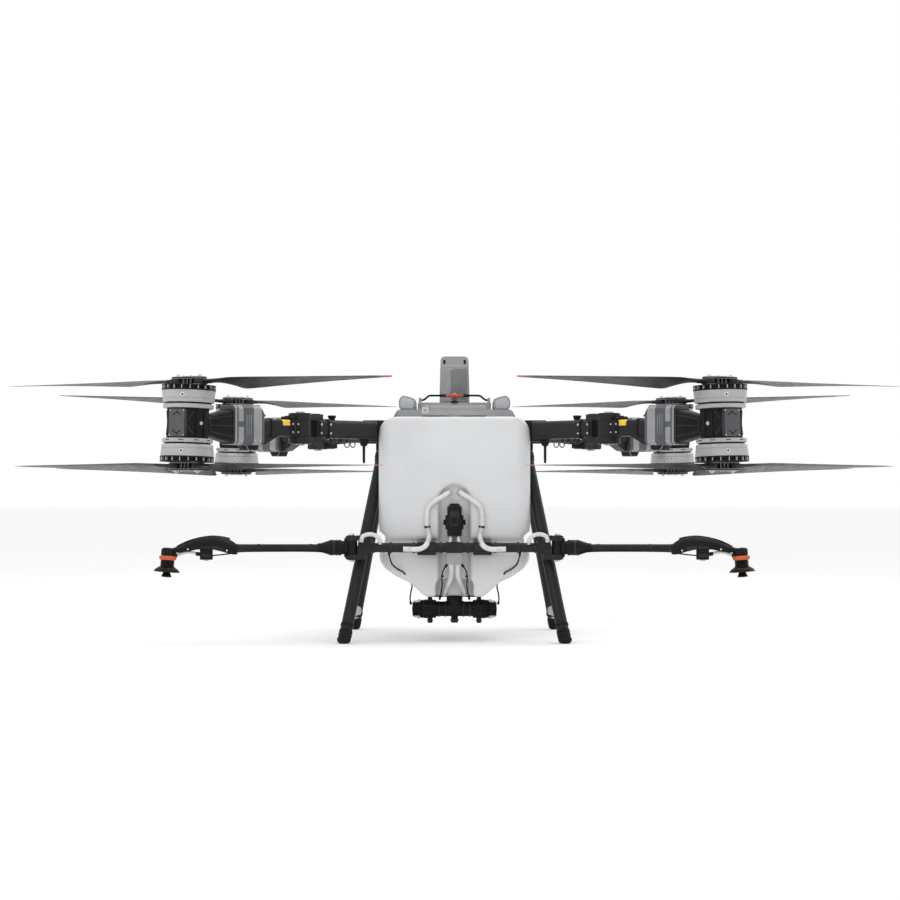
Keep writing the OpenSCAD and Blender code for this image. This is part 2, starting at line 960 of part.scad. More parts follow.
// Hose from the distributor block down to a pump
lower_hose = [
    [11, bar_y + 20, 256], [10, bar_y + 30, 236], [12, -286, 214], [20, -262, 192], [28, -232, 172], [34, -214, 152]
];
// Hose over a lance's fork
arch_hose = [
    [244, bar_y - 8, 326], [248, bar_y - 14, 342], [264, bar_y - 18, 354],
    [284, bar_y - 20, 356], [302, bar_y - 22, 348], [306, bar_y - 24, 330]
];
// Cable from the bar's end to the outer end of a pump
outer_cable = [
    [216, bar_y, 296], [214, -312, 278], [206, -300, 256], [188, -296, 240], [168, -290, 228],
    [154, -262, 204], [142, -240, 184], [146, -214, 160], [149, -200, 138], [146, -196, 118]
];
// Cable from the distributor block to the inner end of a pump
inner_cable = [
    [24, -300, 256], [38, -292, 234], [42, -284, 210], [41, -262, 188], [44, -232, 164], [50, -212, 136]
];

module liquid_hoses() {
    color(tank_white)
        both_sides() {
            hose(upper_hose, 8.5, 3);
            hose(lower_hose, 8.5, 3);
            hose(arch_hose, 7, 3);
        }
}

module cables() {
    color(black)
        both_sides() {
            hose(outer_cable, 2.5, 3);
            hose(inner_cable, 2.2, 3);
        }
}

// Two rod antennas under the rear root tubes
module antennas() {
    color(black)
        for (side = [-1, 1])
            corner(side, -1)
                root_frame()
                    translate([-306, 0, -root_tube / 2]) {
                        translate([0, 0, -21])
                            cylinder(r1 = 12, r2 = 20, h = 21);
                        translate([0, 0, -79])
                            cylinder(r = 4.5, h = 60);
                    }
}

// ---------------------------------------------------------------- battery and camera

battery_deck = battery_top - 8;
handle_y = 190;
handle_z = 818;
handle_pin = 3;
grip = [85, 120, 831];
latch_y = 82;

module battery() {
    color(shell_grey)
        difference() {
            union() {
                box([-bay_hw + battery_gap, bay_rear + battery_gap, bay_floor + bay_wall],
                    [bay_hw - battery_gap, bay_front - battery_gap, battery_deck]);
                box([-40, 104, battery_deck - 1], [40, 200, battery_top]);
                // Posts for the handle's pins
                both_sides()
                    box([116, handle_y - 8, battery_deck - 1], [125, handle_y + 8, handle_z + 8]);
            }
            translate([0, handle_y, handle_z])
                rotate([0, 90, 0])
                    cylinder(r = handle_pin + run_gap, h = 260, center = true);
            // Socket of the latch
            translate([0, latch_y, battery_deck - 20])
                cylinder(r = 4 + run_gap, h = 30);
        }
}

// Bent carrying handle that lies down on the battery
module battery_handle() {
    color(charcoal)
        both_sides() {
            translate([110, handle_y, handle_z])
                rotate([0, 90, 0])
                    cylinder(r = handle_pin, h = 14);
            translate([111.5, handle_y, handle_z])
                sphere(r = 4.5);
            rod([111.5, handle_y, handle_z], grip, 3.6);
            translate(grip)
                sphere(r = 4);
            rod(grip, [-1, grip.y, grip.z], 3.6);
        }
}

// Quarter-turn latch in the middle of the battery
module battery_latch() {
    color(orange) {
        translate([0, latch_y, battery_deck - 19])
            cylinder(r = 4, h = 46);
        translate([0, latch_y, 826])
            linear_extrude(height = 8)
                round_rect(60, 11, 5);
        translate([0, latch_y, 831])
            sphere(r = 8);
    }
}

// Forward camera in a barrel that tilts in the nose
module front_camera() {
    color(black)
        translate([0, rail_front, camera_z])
            difference() {
                union() {
                    rotate([0, 90, 0])
                        cylinder(r = 24, h = 74, center = true);
                    rotate([-90, 0, 0])
                        cylinder(r = 11, h = 34);
                }
                rotate([0, 90, 0])
                    cylinder(r = camera_pin + run_gap, h = 80, center = true);
            }
}

// ---------------------------------------------------------------- sub-parts by place

module lance_left() { corner(-1, 1) lance_part(); }
module lance_right() { corner(1, 1) lance_part(); }
module nozzle_left() { corner(-1, 1) nozzle_part(); }
module nozzle_right() { corner(1, 1) nozzle_part(); }
module disc_left() { corner(-1, 1) disc_part(); }
module disc_right() { corner(1, 1) disc_part(); }

module arm_rear_left() { corner(-1, -1) arm_part(); }
module arm_rear_right() { corner(1, -1) arm_part(); }
module arm_front_left() { corner(-1, 1) arm_part(); }
module arm_front_right() { corner(1, 1) arm_part(); }

module esc_rear_left() { corner(-1, -1) esc_part(); }
module esc_rear_right() { corner(1, -1) esc_part(); }
module esc_front_left() { corner(-1, 1) esc_part(); }
module esc_front_right() { corner(1, 1) esc_part(); }

module mount_rear_left() { corner(-1, -1) mount_part(); }
module mount_rear_right() { corner(1, -1) mount_part(); }
module mount_front_left() { corner(-1, 1) mount_part(); }
module mount_front_right() { corner(1, 1) mount_part(); }

module rotor_rear_left_upper() { corner(-1, -1) rotor_part(1, rear_upper_angle); }
module rotor_rear_left_lower() { corner(-1, -1) rotor_part(-1, rear_lower_angle); }
module rotor_rear_right_upper() { corner(1, -1) rotor_part(1, rear_upper_angle); }
module rotor_rear_right_lower() { corner(1, -1) rotor_part(-1, rear_lower_angle); }
module rotor_front_left_upper() { corner(-1, 1) rotor_part(1, front_angle); }
module rotor_front_left_lower() { corner(-1, 1) rotor_part(-1, front_angle); }
module rotor_front_right_upper() { corner(1, 1) rotor_part(1, front_angle); }
module rotor_front_right_lower() { corner(1, 1) rotor_part(-1, front_angle); }

module blade_rear_left_upper_out() { corner(-1, -1) blade_part(1, rear_upper_angle, 1); }
module blade_rear_left_upper_in() { corner(-1, -1) blade_part(1, rear_upper_angle, -1); }
module blade_rear_left_lower_out() { corner(-1, -1) blade_part(-1, rear_lower_angle, 1); }
module blade_rear_left_lower_in() { corner(-1, -1) blade_part(-1, rear_lower_angle, -1); }
module blade_rear_right_upper_out() { corner(1, -1) blade_part(1, rear_upper_angle, 1); }
module blade_rear_right_upper_in() { corner(1, -1) blade_part(1, rear_upper_angle, -1); }
module blade_rear_right_lower_out() { corner(1, -1) blade_part(-1, rear_lower_angle, 1); }
module blade_rear_right_lower_in() { corner(1, -1) blade_part(-1, rear_lower_angle, -1); }
module blade_front_left_upper_out() { corner(-1, 1) blade_part(1, front_angle, 1); }
module blade_front_left_upper_in() { corner(-1, 1) blade_part(1, front_angle, -1); }
module blade_front_left_lower_out() { corner(-1, 1) blade_part(-1, front_angle, 1); }
module blade_front_left_lower_in() { corner(-1, 1) blade_part(-1, front_angle, -1); }
module blade_front_right_upper_out() { corner(1, 1) blade_part(1, front_angle, 1); }
module blade_front_right_upper_in() { corner(1, 1) blade_part(1, front_angle, -1); }
module blade_front_right_lower_out() { corner(1, 1) blade_part(-1, front_angle, 1); }
module blade_front_right_lower_in() { corner(1, 1) blade_part(-1, front_angle, -1); }

tank();
center_frame();
arm_roots();
hinge_pins();
body_shell();
sensor_mast();
landing_legs();
foot_caps();
spray_bar();
pump_unit();
liquid_hoses();
cables();
antennas();
battery();
battery_handle();
battery_latch();
filler_lid();
front_camera();
lance_left();
lance_right();
nozzle_left();
nozzle_right();
disc_left();
disc_right();
arm_rear_left();
arm_rear_right();
arm_front_left();
arm_front_right();
esc_rear_left();
esc_rear_right();
esc_front_left();
esc_front_right();
mount_rear_left();
mount_rear_right();
mount_front_left();
mount_front_right();
rotor_rear_left_upper();
rotor_rear_left_lower();
rotor_rear_right_upper();
rotor_rear_right_lower();
rotor_front_left_upper();
rotor_front_left_lower();
rotor_front_right_upper();
rotor_front_right_lower();
blade_rear_left_upper_out();
blade_rear_left_upper_in();
blade_rear_left_lower_out();
blade_rear_left_lower_in();
blade_rear_right_upper_out();
blade_rear_right_upper_in();
blade_rear_right_lower_out();
blade_rear_right_lower_in();
blade_front_left_upper_out();
blade_front_left_upper_in();
blade_front_left_lower_out();
blade_front_left_lower_in();
blade_front_right_upper_out();
blade_front_right_upper_in();
blade_front_right_lower_out();
blade_front_right_lower_in();
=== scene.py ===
import json
import math

import bmesh
import bpy
from mathutils import Matrix, Vector


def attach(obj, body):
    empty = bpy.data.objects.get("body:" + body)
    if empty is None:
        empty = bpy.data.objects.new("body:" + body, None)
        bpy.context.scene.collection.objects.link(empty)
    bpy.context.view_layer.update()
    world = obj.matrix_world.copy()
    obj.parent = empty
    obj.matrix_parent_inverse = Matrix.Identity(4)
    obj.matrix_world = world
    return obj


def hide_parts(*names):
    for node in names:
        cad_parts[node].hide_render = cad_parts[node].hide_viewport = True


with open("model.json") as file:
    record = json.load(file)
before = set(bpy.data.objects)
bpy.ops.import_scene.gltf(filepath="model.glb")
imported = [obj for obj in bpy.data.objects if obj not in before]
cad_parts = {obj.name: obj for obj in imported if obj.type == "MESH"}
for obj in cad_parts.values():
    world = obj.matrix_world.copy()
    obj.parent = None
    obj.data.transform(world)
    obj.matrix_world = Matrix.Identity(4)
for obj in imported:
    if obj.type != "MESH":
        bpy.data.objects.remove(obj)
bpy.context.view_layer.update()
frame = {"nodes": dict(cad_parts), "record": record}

MM = 0.001
scene = bpy.context.scene


# ------------------------------------------------------------------ materials

def node(tree, kind, **values):
    made = tree.nodes.new(kind)
    for key, value in values.items():
        setattr(made, key, value)
    return made


def noise(tree, coords, scale, detail=3.0):
    """Noise texture in the piece's own coordinates."""
    made = node(tree, "ShaderNodeTexNoise")
    made.inputs["Scale"].default_value = scale
    made.inputs["Detail"].default_value = detail
    tree.links.new(coords.outputs["Object"], made.inputs["Vector"])
    return made.outputs["Fac"]


def ramp(tree, fac, stops):
    made = node(tree, "ShaderNodeValToRGB")
    for element, (place, colour) in zip(made.color_ramp.elements, stops):
        element.position = place
        element.color = (*colour, 1)
    tree.links.new(fac, made.inputs["Fac"])
    return made.outputs["Color"]


def spread(tree, fac, low, high):
    """Maps the middle of a noise to a range."""
    made = node(tree, "ShaderNodeMapRange")
    made.inputs["From Min"].default_value = 0.3
    made.inputs["From Max"].default_value = 0.7
    made.inputs["To Min"].default_value = low
    made.inputs["To Max"].default_value = high
    tree.links.new(fac, made.inputs["Value"])
    return made.outputs["Result"]


def twill(tree, coords, scale):
    """Two crossing sets of slanted bands, as woven carbon fibre has."""
    bands = []
    for axis, slant in (("X", 1.0), ("Z", -1.0)):
        mapping = node(tree, "ShaderNodeMapping")
        mapping.inputs["Rotation"].default_value = (0.0, slant * math.radians(45), math.radians(45))
        tree.links.new(coords.outputs["Object"], mapping.inputs["Vector"])
        wave = node(tree, "ShaderNodeTexWave", bands_direction=axis)
        wave.inputs["Scale"].default_value = scale
        wave.inputs["Distortion"].default_value = 0.4
        tree.links.new(mapping.outputs["Vector"], wave.inputs["Vector"])
        bands.append(wave.outputs["Fac"])
    mix = node(tree, "ShaderNodeMath", operation="MULTIPLY")
    tree.links.new(bands[0], mix.inputs[0])
    tree.links.new(bands[1], mix.inputs[1])
    return mix.outputs["Value"]


def material(name, dark, light, rough, mottle=20.0, grain=900.0, bump=0.1, metallic=0.0, coat=0.0,
             weave=0.0, specular=0.5):
    """Painted, moulded or woven surface: two close tones, uneven gloss and a fine grain."""
    made = bpy.data.materials.new(name)
    made.use_nodes = True
    tree = made.node_tree
    shader = tree.nodes["Principled BSDF"]
    coords = node(tree, "ShaderNodeTexCoord")
    pattern = twill(tree, coords, weave) if weave else noise(tree, coords, mottle, 5.0)
    stops = ((0.0, dark), (0.9, light)) if weave else ((0.32, dark), (0.68, light))
    tree.links.new(ramp(tree, pattern, stops), shader.inputs["Base Color"])
    gloss = spread(tree, noise(tree, coords, mottle * 2.3, 4.0), rough * 0.82, rough * 1.18)
    tree.links.new(gloss, shader.inputs["Roughness"])
    relief = node(tree, "ShaderNodeBump")
    relief.inputs["Strength"].default_value = bump
    relief.inputs["Distance"].default_value = 0.0006
    tree.links.new(pattern if weave else noise(tree, coords, grain, 2.0), relief.inputs["Height"])
    tree.links.new(relief.outputs["Normal"], shader.inputs["Normal"])
    shader.inputs["Metallic"].default_value = metallic
    shader.inputs["Specular IOR Level"].default_value = specular
    shader.inputs["Coat Weight"].default_value = coat
    shader.inputs["Coat Roughness"].default_value = 0.15
    return made


def grey(value, tint=0.0):
    return (value, value * (1 + 0.02 * tint), value * (1 + 0.05 * tint))


TANK = material("tank_plastic", grey(0.60, 0.5), grey(0.66, 0.5), 0.34, mottle=5.0, grain=420.0, bump=0.06,
                coat=0.12)
SHELL = material("shell_plastic", grey(0.27, 1), grey(0.31, 1), 0.46, bump=0.2)
SHELL_DARK = material("shell_plastic_dark", grey(0.15, 1), grey(0.18, 1), 0.5, bump=0.2)
SHELL_LIGHT = material("shell_plastic_light", grey(0.42, 1), grey(0.47, 1), 0.45, bump=0.2)
MOTOR = material("motor_enamel", grey(0.36, 0.5), grey(0.41, 0.5), 0.36, metallic=0.15)
ESC = material("esc_enamel", grey(0.20, 2), grey(0.235, 2), 0.42, bump=0.15, metallic=0.2)
# Dark grey: core and seams of the speed controller housing, its band painted as shade, and the pods' outer
# panels, lighter than the pods as painted light
ESC_DARK = material("esc_enamel_dark", grey(0.055, 3), grey(0.075, 3), 0.44, bump=0.15)
# Lighter grey painted as light on the lit facets of the speed controller housing
ESC_PAINTED_LIT = material("esc_enamel_painted_lit", grey(0.23, 1.5), grey(0.27, 1.5), 0.4, bump=0.15)
CARBON = material("carbon_twill", grey(0.010, 1), grey(0.024, 1), 0.45, weave=130.0, bump=0.18, coat=0.04,
                  specular=0.2)
FRAME = material("frame_anodised", grey(0.012, 1), grey(0.02, 1), 0.44, bump=0.12, specular=0.2)
BLACK = material("black_plastic", grey(0.005), grey(0.010), 0.52, grain=1100.0, bump=0.25, specular=0.16)
BLACK_EDGE = material("black_plastic_worn", grey(0.012, 1), grey(0.022, 1), 0.44, grain=1100.0, bump=0.2,
                      specular=0.25)
BLADE = material("blade_composite", grey(0.008, 1), grey(0.015, 1), 0.38, grain=500.0, bump=0.12,
                 specular=0.28)
TIP = material("blade_tip", (0.30, 0.045, 0.012), (0.38, 0.06, 0.016), 0.4, grain=500.0)
RUBBER = material("rubber", grey(0.008), grey(0.014), 0.72, grain=1300.0, bump=0.35, specular=0.15)
ORANGE = material("orange_plastic", (0.62, 0.10, 0.02), (0.74, 0.135, 0.03), 0.38, bump=0.12)
# Orange darkened as painted shade, for the latch's stem and grip ribs
ORANGE_PAINTED_SHADE = material("orange_plastic_painted_shade", (0.16, 0.03, 0.015), (0.22, 0.045, 0.02), 0.42, bump=0.12)
YELLOW = material("sticker_yellow", (0.72, 0.42, 0.03), (0.80, 0.49, 0.045), 0.5, bump=0.08)
HOSE = material("hose_white", grey(0.58, 0.3), grey(0.68, 0.3), 0.3, mottle=30.0, grain=700.0, coat=0.2)
STEEL = material("steel", grey(0.50), grey(0.62), 0.28, mottle=40.0, metallic=1.0)
LENS = material("camera_lens", (0.004, 0.005, 0.012), (0.008, 0.010, 0.022), 0.08, bump=0.01, coat=1.0)
FLOOR = material("floor_paper", grey(0.93), grey(0.95), 0.95, mottle=1.5, grain=40.0, bump=0.02, specular=0.0)


# ------------------------------------------------------------------ mesh code

def turn(degrees, axis):
    return Matrix.Rotation(math.radians(degrees), 4, axis)


def move(x, y, z):
    return Matrix.Translation((x, y, z))


def corner(side, end):
    """Mirrors the front right corner's shape to another corner."""
    return Matrix.Diagonal((side, end, 1, 1))


ALONG = {
    "z": Matrix(),
    "y": Matrix(((1, 0, 0, 0), (0, 0, 1, 0), (0, 1, 0, 0), (0, 0, 0, 1))),
    "x": Matrix(((0, 0, 1, 0), (1, 0, 0, 0), (0, 1, 0, 0), (0, 0, 0, 1))),
}


def aim(start, end):
    """Frame at start whose Z points to end."""
    start, end = Vector(start), Vector(end)
    return Matrix.Translation(start) @ (end - start).to_track_quat("Z", "Y").to_matrix().to_4x4()


def round_rect(w, h, r, steps=5):
    """Outline of a centred rectangle with round corners."""
    points = []
    for cx, cy, first in ((1, 1, 0), (-1, 1, 90), (-1, -1, 180), (1, -1, 270)):
        for i in range(steps + 1):
            a = math.radians(first + 90 * i / steps)
            points.append((cx * (w / 2 - r) + r * math.cos(a), cy * (h / 2 - r) + r * math.sin(a)))
    return points


def smooth_path(points, steps):
    """Catmull-Rom curve through the points."""
    points = [Vector(p) for p in points]
    path = []
    for i in range(len(points) - 1):
        a, b = points[max(i - 1, 0)], points[i]
        c, d = points[i + 1], points[min(i + 2, len(points) - 1)]
        for s in range(steps):
            t = s / steps
            path.append(0.5 * (2 * b + (c - a) * t + (2 * a - 5 * b + 4 * c - d) * t * t
                               + (3 * b - a - 3 * c + d) * t * t * t))
    path.append(points[-1])
    return path


class Piece:
    """Parts of one mesh, in millimetres, that become one object."""

    def __init__(self, place=None):
        self.bm = bmesh.new()
        self.place = place or Matrix()

    def add(self, points, faces, mat=0, at=None, bevel=0.0):
        where = self.place @ (at or Matrix())
        verts = [self.bm.verts.new(where @ Vector(p)) for p in points]
        made = []
        for f in faces:
            face = self.bm.faces.new([verts[i] for i in f])
            face.material_index = mat
            made.append(face)
        if bevel:
            bmesh.ops.recalc_face_normals(self.bm, faces=made)
            edges = {e for f in made for e in f.edges}
            sharp = [e for e in edges if len(e.link_faces) == 2 and e.calc_face_angle(0) > math.radians(30)]
            bmesh.ops.bevel(self.bm, geom=sharp, offset=bevel, segments=2, profile=0.6, affect="EDGES",
                            clamp_overlap=True)
        return self

    def prism(self, outline, low, high, mat=0, along="z", at=None, bevel=0.0):
        n = len(outline)
        points = [(x, y, low) for x, y in outline] + [(x, y, high) for x, y in outline]
        faces = [list(range(n))[::-1], list(range(n, 2 * n))]
        faces += [(i, (i + 1) % n, n + (i + 1) % n, n + i) for i in range(n)]
        return self.add(points, faces, mat, (at or Matrix()) @ ALONG[along], bevel)

    def box(self, low, high, mat=0, at=None, bevel=1.0):
        outline = [(low[0], low[1]), (high[0], low[1]), (high[0], high[1]), (low[0], high[1])]
        return self.prism(outline, low[2], high[2], mat, "z", at, bevel)

    def lathe(self, profile, mat=0, at=None, sides=40, ring=False):
        """Turns (radius, height) points round Z; ring=True joins the last point to the first."""
        points, rows = [], []
        for r, z in profile:
            if r < 1e-6:
                rows.append([len(points)])
                points.append((0, 0, z))
            else:
                rows.append(list(range(len(points), len(points) + sides)))
                points += [(r * math.cos(2 * math.pi * k / sides), r * math.sin(2 * math.pi * k / sides), z)
                           for k in range(sides)]
        faces = []
        for a, b in list(zip(rows, rows[1:])) + ([(rows[-1], rows[0])] if ring else []):
            for k in range(sides):
                j = (k + 1) % sides
                if len(a) == 1 and len(b) > 1:
                    faces.append((a[0], b[k], b[j]))
                elif len(b) == 1 and len(a) > 1:
                    faces.append((a[k], b[0], a[j]))
                elif len(a) > 1:
                    faces.append((a[k], a[j], b[j], b[k]))
        return self.add(points, faces, mat, at)

    def disc(self, r, low, high, mat=0, at=None, sides=40, edge=1.0, r_top=None):
        """Solid cylinder or cone with softened rims."""
        r_top = r if r_top is None else r_top
        e = min(edge, (high - low) / 2.01, r / 2, r_top / 2)
        return self.lathe([(0, low), (r - e, low), (r, low + e), (r_top, high - e), (r_top - e, high),
                           (0, high)],
                          mat, at, sides)

    def rod(self, start, end, r, mat=0, sides=24, edge=1.0, r_end=None):
        length = (Vector(end) - Vector(start)).length
        return self.disc(r, 0, length, mat, aim(start, end), sides, edge, r_end)

    def tube(self, path, r, mat=0, sides=12, at=None):
        """Round tube along a path, with flat ends; r is a number or one number for each point."""
        path = [Vector(p) for p in path]
        points, side = [], None
        last = len(path) - 1
        for i, p in enumerate(path):
            along = (path[min(i + 1, last)] - path[max(i - 1, 0)]).normalized()
            side = side or along.orthogonal().normalized()
            side = (side - along * side.dot(along)).normalized()
            other = along.cross(side)
            radius = r[i] if isinstance(r, list) else r
            for k in range(sides):
                a = 2 * math.pi * k / sides
                points.append(p + radius * (side * math.cos(a) + other * math.sin(a)))
        return self.skin(points, last + 1, sides, mat, at)

    def loft(self, sections, mat=0, at=None):
        """Skin over closed sections with the same number of points, capped at both ends."""
        points = [p for section in sections for p in section]
        return self.skin(points, len(sections), len(sections[0]), mat, at)

    def skin(self, points, rows, n, mat, at):
        faces = [(i * n + k, i * n + (k + 1) % n, (i + 1) * n + (k + 1) % n, (i + 1) * n + k)
                 for i in range(rows - 1) for k in range(n)]
        faces += [list(range(n))[::-1], list(range((rows - 1) * n, rows * n))]
        return self.add(points, faces, mat, at)

    def done(self, name, body, mats, replaces=(), angle=32):
        bmesh.ops.recalc_face_normals(self.bm, faces=self.bm.faces)
        mesh = bpy.data.meshes.new(name)
        self.bm.to_mesh(mesh)
        self.bm.free()
        mesh.transform(Matrix.Scale(MM, 4))
        return place_mesh(mesh, name, body, mats, replaces, angle)


def place_mesh(mesh, name, body, mats, replaces, angle=32):
    for m in mats:
        mesh.materials.append(m)
    for p in mesh.polygons:
        p.use_smooth = True
    mesh.set_sharp_from_angle(angle=math.radians(angle))
    obj = bpy.data.objects.new(name, mesh)
    scene.collection.objects.link(obj)
    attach(obj, body)
    if replaces:
        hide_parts(*replaces)
    return obj


def body_of_node(name):
    for body, members in frame["record"]["behaviour"]["bodies"].items():
        if name in members:
            return body
    return "root"


def refine(name, mats, bevel=1.5, rule=None):
    """Copy of a CAD node with clean faces, softened edges and its materials, that stands for the node.
    rule gives the material's number from a face's centre, in millimetres, and its normal."""
    bm = bmesh.new()
    bm.from_mesh(frame["nodes"][name].data)
    bmesh.ops.remove_doubles(bm, verts=bm.verts, dist=1e-6)
    bmesh.ops.dissolve_limit(bm, angle_limit=math.radians(0.6), verts=bm.verts, edges=bm.edges)
    if bevel:
        width = bevel * MM
        sharp = [e for e in bm.edges if len(e.link_faces) == 2 and e.calc_face_angle(0) > math.radians(30)
                 and e.calc_length() > 2.2 * width]
        bmesh.ops.bevel(bm, geom=sharp, offset=width, segments=2, profile=0.6, affect="EDGES",
                        clamp_overlap=True)
    for f in bm.faces:
        f.material_index = rule(f.calc_center_median() / MM, f.normal) if rule else 0
    mesh = bpy.data.meshes.new(name + "_fine")
    bm.to_mesh(mesh)
    bm.free()
    return place_mesh(mesh, name + "_fine", body_of_node(name), mats, [name])


# ------------------------------------------------------------------ sizes from the CAD

CORNERS = {"rear_left": (-1, -1), "rear_right": (1, -1), "front_left": (-1, 1), "front_right": (1, 1)}
MOTOR_U = 823 * math.sqrt(2)
HINGE_U = 498 * math.sqrt(2)
HINGE_XY = 498
ARM_Z = 700
STACK_Z = 706.5
CANT = 2
ESC_START = 885
ESC_END = 1007
BAR_Y = -335
BAR_Z = 312
LANCE_PIN = 340
NOZZLE_X = 942
TANK_REAR = -285
FILLER_Y = -212
LATCH_Y = 82
MAST_Y = 302
PUMP_PLACE = (0, -190, 103)
CAMERA_PLACE = (0, 350, 688)
LEG_TOP = Vector((235, 130, 662))
LEG_FOOT = Vector((363, 400, 0))


def stack_place(side, end, up=1):
    """Frame of a motor stack: Z runs from the middle of the stack towards the propeller."""
    place = corner(side, end) @ turn(45, "Z") @ move(MOTOR_U, 0, STACK_Z) @ turn(-CANT, "Y")
    return place @ Matrix.Diagonal((1, 1, up, 1))


def arm_place(side, end):
    """Frame of an arm: X runs outward from the centre at true height."""
    return corner(side, end) @ turn(45, "Z")


def leg_at(z):
    return LEG_FOOT + (LEG_TOP - LEG_FOOT) * (z / LEG_TOP.z)


# ------------------------------------------------------------------ camera, light and floor

camera = bpy.data.objects.new("camera", bpy.data.cameras.new("camera"))
scene.collection.objects.link(camera)
scene.camera = camera
camera.location = (0, -8.094, 0.502)
camera.rotation_euler = (math.pi / 2, 0, 0)
camera.data.sensor_width = 36
camera.data.lens = 94.2
camera.data.shift_x = -0.005
camera.data.shift_y = 0.0444
camera.data.clip_end = 200

scene.view_settings.view_transform = "Standard"
world = bpy.data.worlds.new("studio")
world.use_nodes = True
world.node_tree.nodes["Background"].inputs["Color"].default_value = (1, 1, 1, 1)
world.node_tree.nodes["Background"].inputs["Strength"].default_value = 1.0
scene.world = world


def area(name, place, target, size, power):
    light = bpy.data.lights.new(name, "AREA")
    light.shape = "RECTANGLE"
    light.size, light.size_y = size
    light.energy = power
    obj = bpy.data.objects.new(name, light)
    look = (Vector(target) - Vector(place)).to_track_quat("-Z", "Y").to_matrix().to_4x4()
    obj.matrix_world = Matrix.Translation(place) @ look
    scene.collection.objects.link(obj)


area("key", (-2.6, -3.4, 3.6), (0, 0, 0.6), (2.6, 1.6), 34)
area("top", (0.6, 0.2, 4.2), (0, 0, 0.7), (3.4, 2.6), 48)
area("rim", (3.6, 2.4, 2.6), (0, 0, 0.7), (1.4, 2.4), 26)

floor_mesh = bpy.data.meshes.new("floor")
floor_mesh.from_pydata([(-60, -60, 0), (60, -60, 0), (60, 60, 0), (-60, 60, 0)], [], [(0, 1, 2, 3)])
floor_mesh.materials.append(FLOOR)
floor = bpy.data.objects.new("floor", floor_mesh)
scene.collection.objects.link(floor)


# ------------------------------------------------------------------ rotors and blades

REST_ANGLES = {("rear", "upper"): 35.5, ("rear", "lower"): 38.5, ("front", "upper"): 41.5,
               ("front", "lower"): 41.5}
PROP_R = 787
BLADE_PIN_R = 45
BLADE_H = 130.2
BELL_MATS = [MOTOR, BLACK, STEEL, HOSE]


def rotor(name, place, angle):
    """Bell with inspection marks, finned cooling ring, hub plates and pins of one motor."""
    piece = Piece(place)
    piece.lathe([(13, 64.5), (73, 64.5), (78, 64.5), (79.2, 66), (80.2, 74), (80.2, 75.5), (79.2, 76.2),
                 (79.4, 77.6), (80.6, 78.3), (82.6, 97), (83, 100.5), (82, 101.6),
                 (13, 101.6)], 0, sides=72, ring=True)
    # Round inspection marks
    for k in (38, 218):
        at = turn(k, "Z") @ move(81.2, 0, 86) @ turn(96, "Y")
        piece.disc(6.4, -1, 1.1, 3, at, 28, 0.4)
        piece.disc(3.2, 0, 1.6, 1, at, 20, 0.3)
    # Cooling ring: dark drum behind light fins, floor and rim
    piece.lathe([(13, 101.8), (82.5, 101.8), (84, 103), (84, 104.6), (83, 105.4), (13, 105.4)], 1, sides=72,
                ring=True)
    piece.lathe([(66, 116), (83, 116), (84, 116.8), (84, 117.6), (83, 118.4), (67, 118.4), (66, 117.4)], 1,
                sides=72, ring=True)
    piece.lathe([(60, 104), (76, 104), (76, 117), (60, 117)], 1, sides=60, ring=True)
    for k in range(20):
        piece.box((75, -1.2, 104.8), (83.4, 1.2, 116.8), 0, turn(18 * k, "Z"), 0.4)
    piece.lathe([(13, 105), (58, 105), (59.5, 106), (59.5, 112), (40, 118.3), (13, 118.3)], 1, sides=48,
                ring=True)
    # Hub plates round the blade pins
    hub = turn(-angle - 45, "Z")
    piece.prism(round_rect(130, 38, 16), 117.5, 122, 1, "z", hub, 1.0)
    piece.prism(round_rect(130, 34, 14), 138.5, 145.5, 1, "z", hub, 1.6)
    for x in (-15, 0, 15):
        piece.box((x - 3, -11, 121), (x + 3, 11, 139.5), 1, hub, 1.0)
    piece.prism(round_rect(50, 22, 8), 145, 147.2, 1, "z", hub, 0.8)
    for x in (-1, 1):
        at = hub @ move(x * BLADE_PIN_R, 0, 0)
        piece.disc(6, 119, 145, 2, at, 24)
        piece.disc(10.5, 144.5, 146.6, 2, at, 28, 0.6)
        piece.disc(9, 146, 149.3, 2, at, 6, 0.8)
        piece.disc(4, 149, 153.4, 2, at, 16, 0.8)
        piece.disc(7, 115.4, 117.8, 2, at, 6, 0.6)
    for x in (-16, 16):
        for y in (-8, 8):
            piece.disc(2.6, 147, 149.2, 2, hub @ move(x, y, 0), 6, 0.4)
    return piece.done(name + "_motor", name, BELL_MATS, [name])


def knots(table, x):
    """Smooth curve through a table's points."""
    if x <= table[0][0]:
        return table[0][1]
    for i in range(len(table) - 1):
        (x0, y0), (x1, y1) = table[i], table[i + 1]
        if x <= x1:
            before = table[max(i - 1, 0)]
            after = table[min(i + 2, len(table) - 1)]
            slope0 = (y1 - before[1]) / (x1 - before[0])
            slope1 = (after[1] - y0) / (after[0] - x0)
            t, w = (x - x0) / (x1 - x0), x1 - x0
            return ((2 * t ** 3 - 3 * t ** 2 + 1) * y0 + (t ** 3 - 2 * t ** 2 + t) * w * slope0
                    + (3 * t ** 2 - 2 * t ** 3) * y1 + (t ** 3 - t ** 2) * w * slope1)
    return table[-1][1]


CHORD = [(60, 30), (104, 34), (124, 58), (146, 106), (164, 117), (190, 118), (250, 113), (400, 90), (600, 58),
         (740, 34), (770, 26), (787, 9)]
DEPTH = [(60, 12), (104, 12), (170, 9), (300, 6), (600, 3.6), (787, 1.6)]
LEAD = [(60, 15), (104, 17), (190, 34), (400, 30), (740, 15), (787, 8)]
TOP_SIDE = [(0, 0), (0.12, 0.5), (0.4, 0.62), (0.75, 0.35), (1, 0.05)]
LOW_SIDE = [(0, 0), (0.12, -0.38), (0.4, -0.38), (0.75, -0.12), (1, 0.05)]
TIP_START = 742


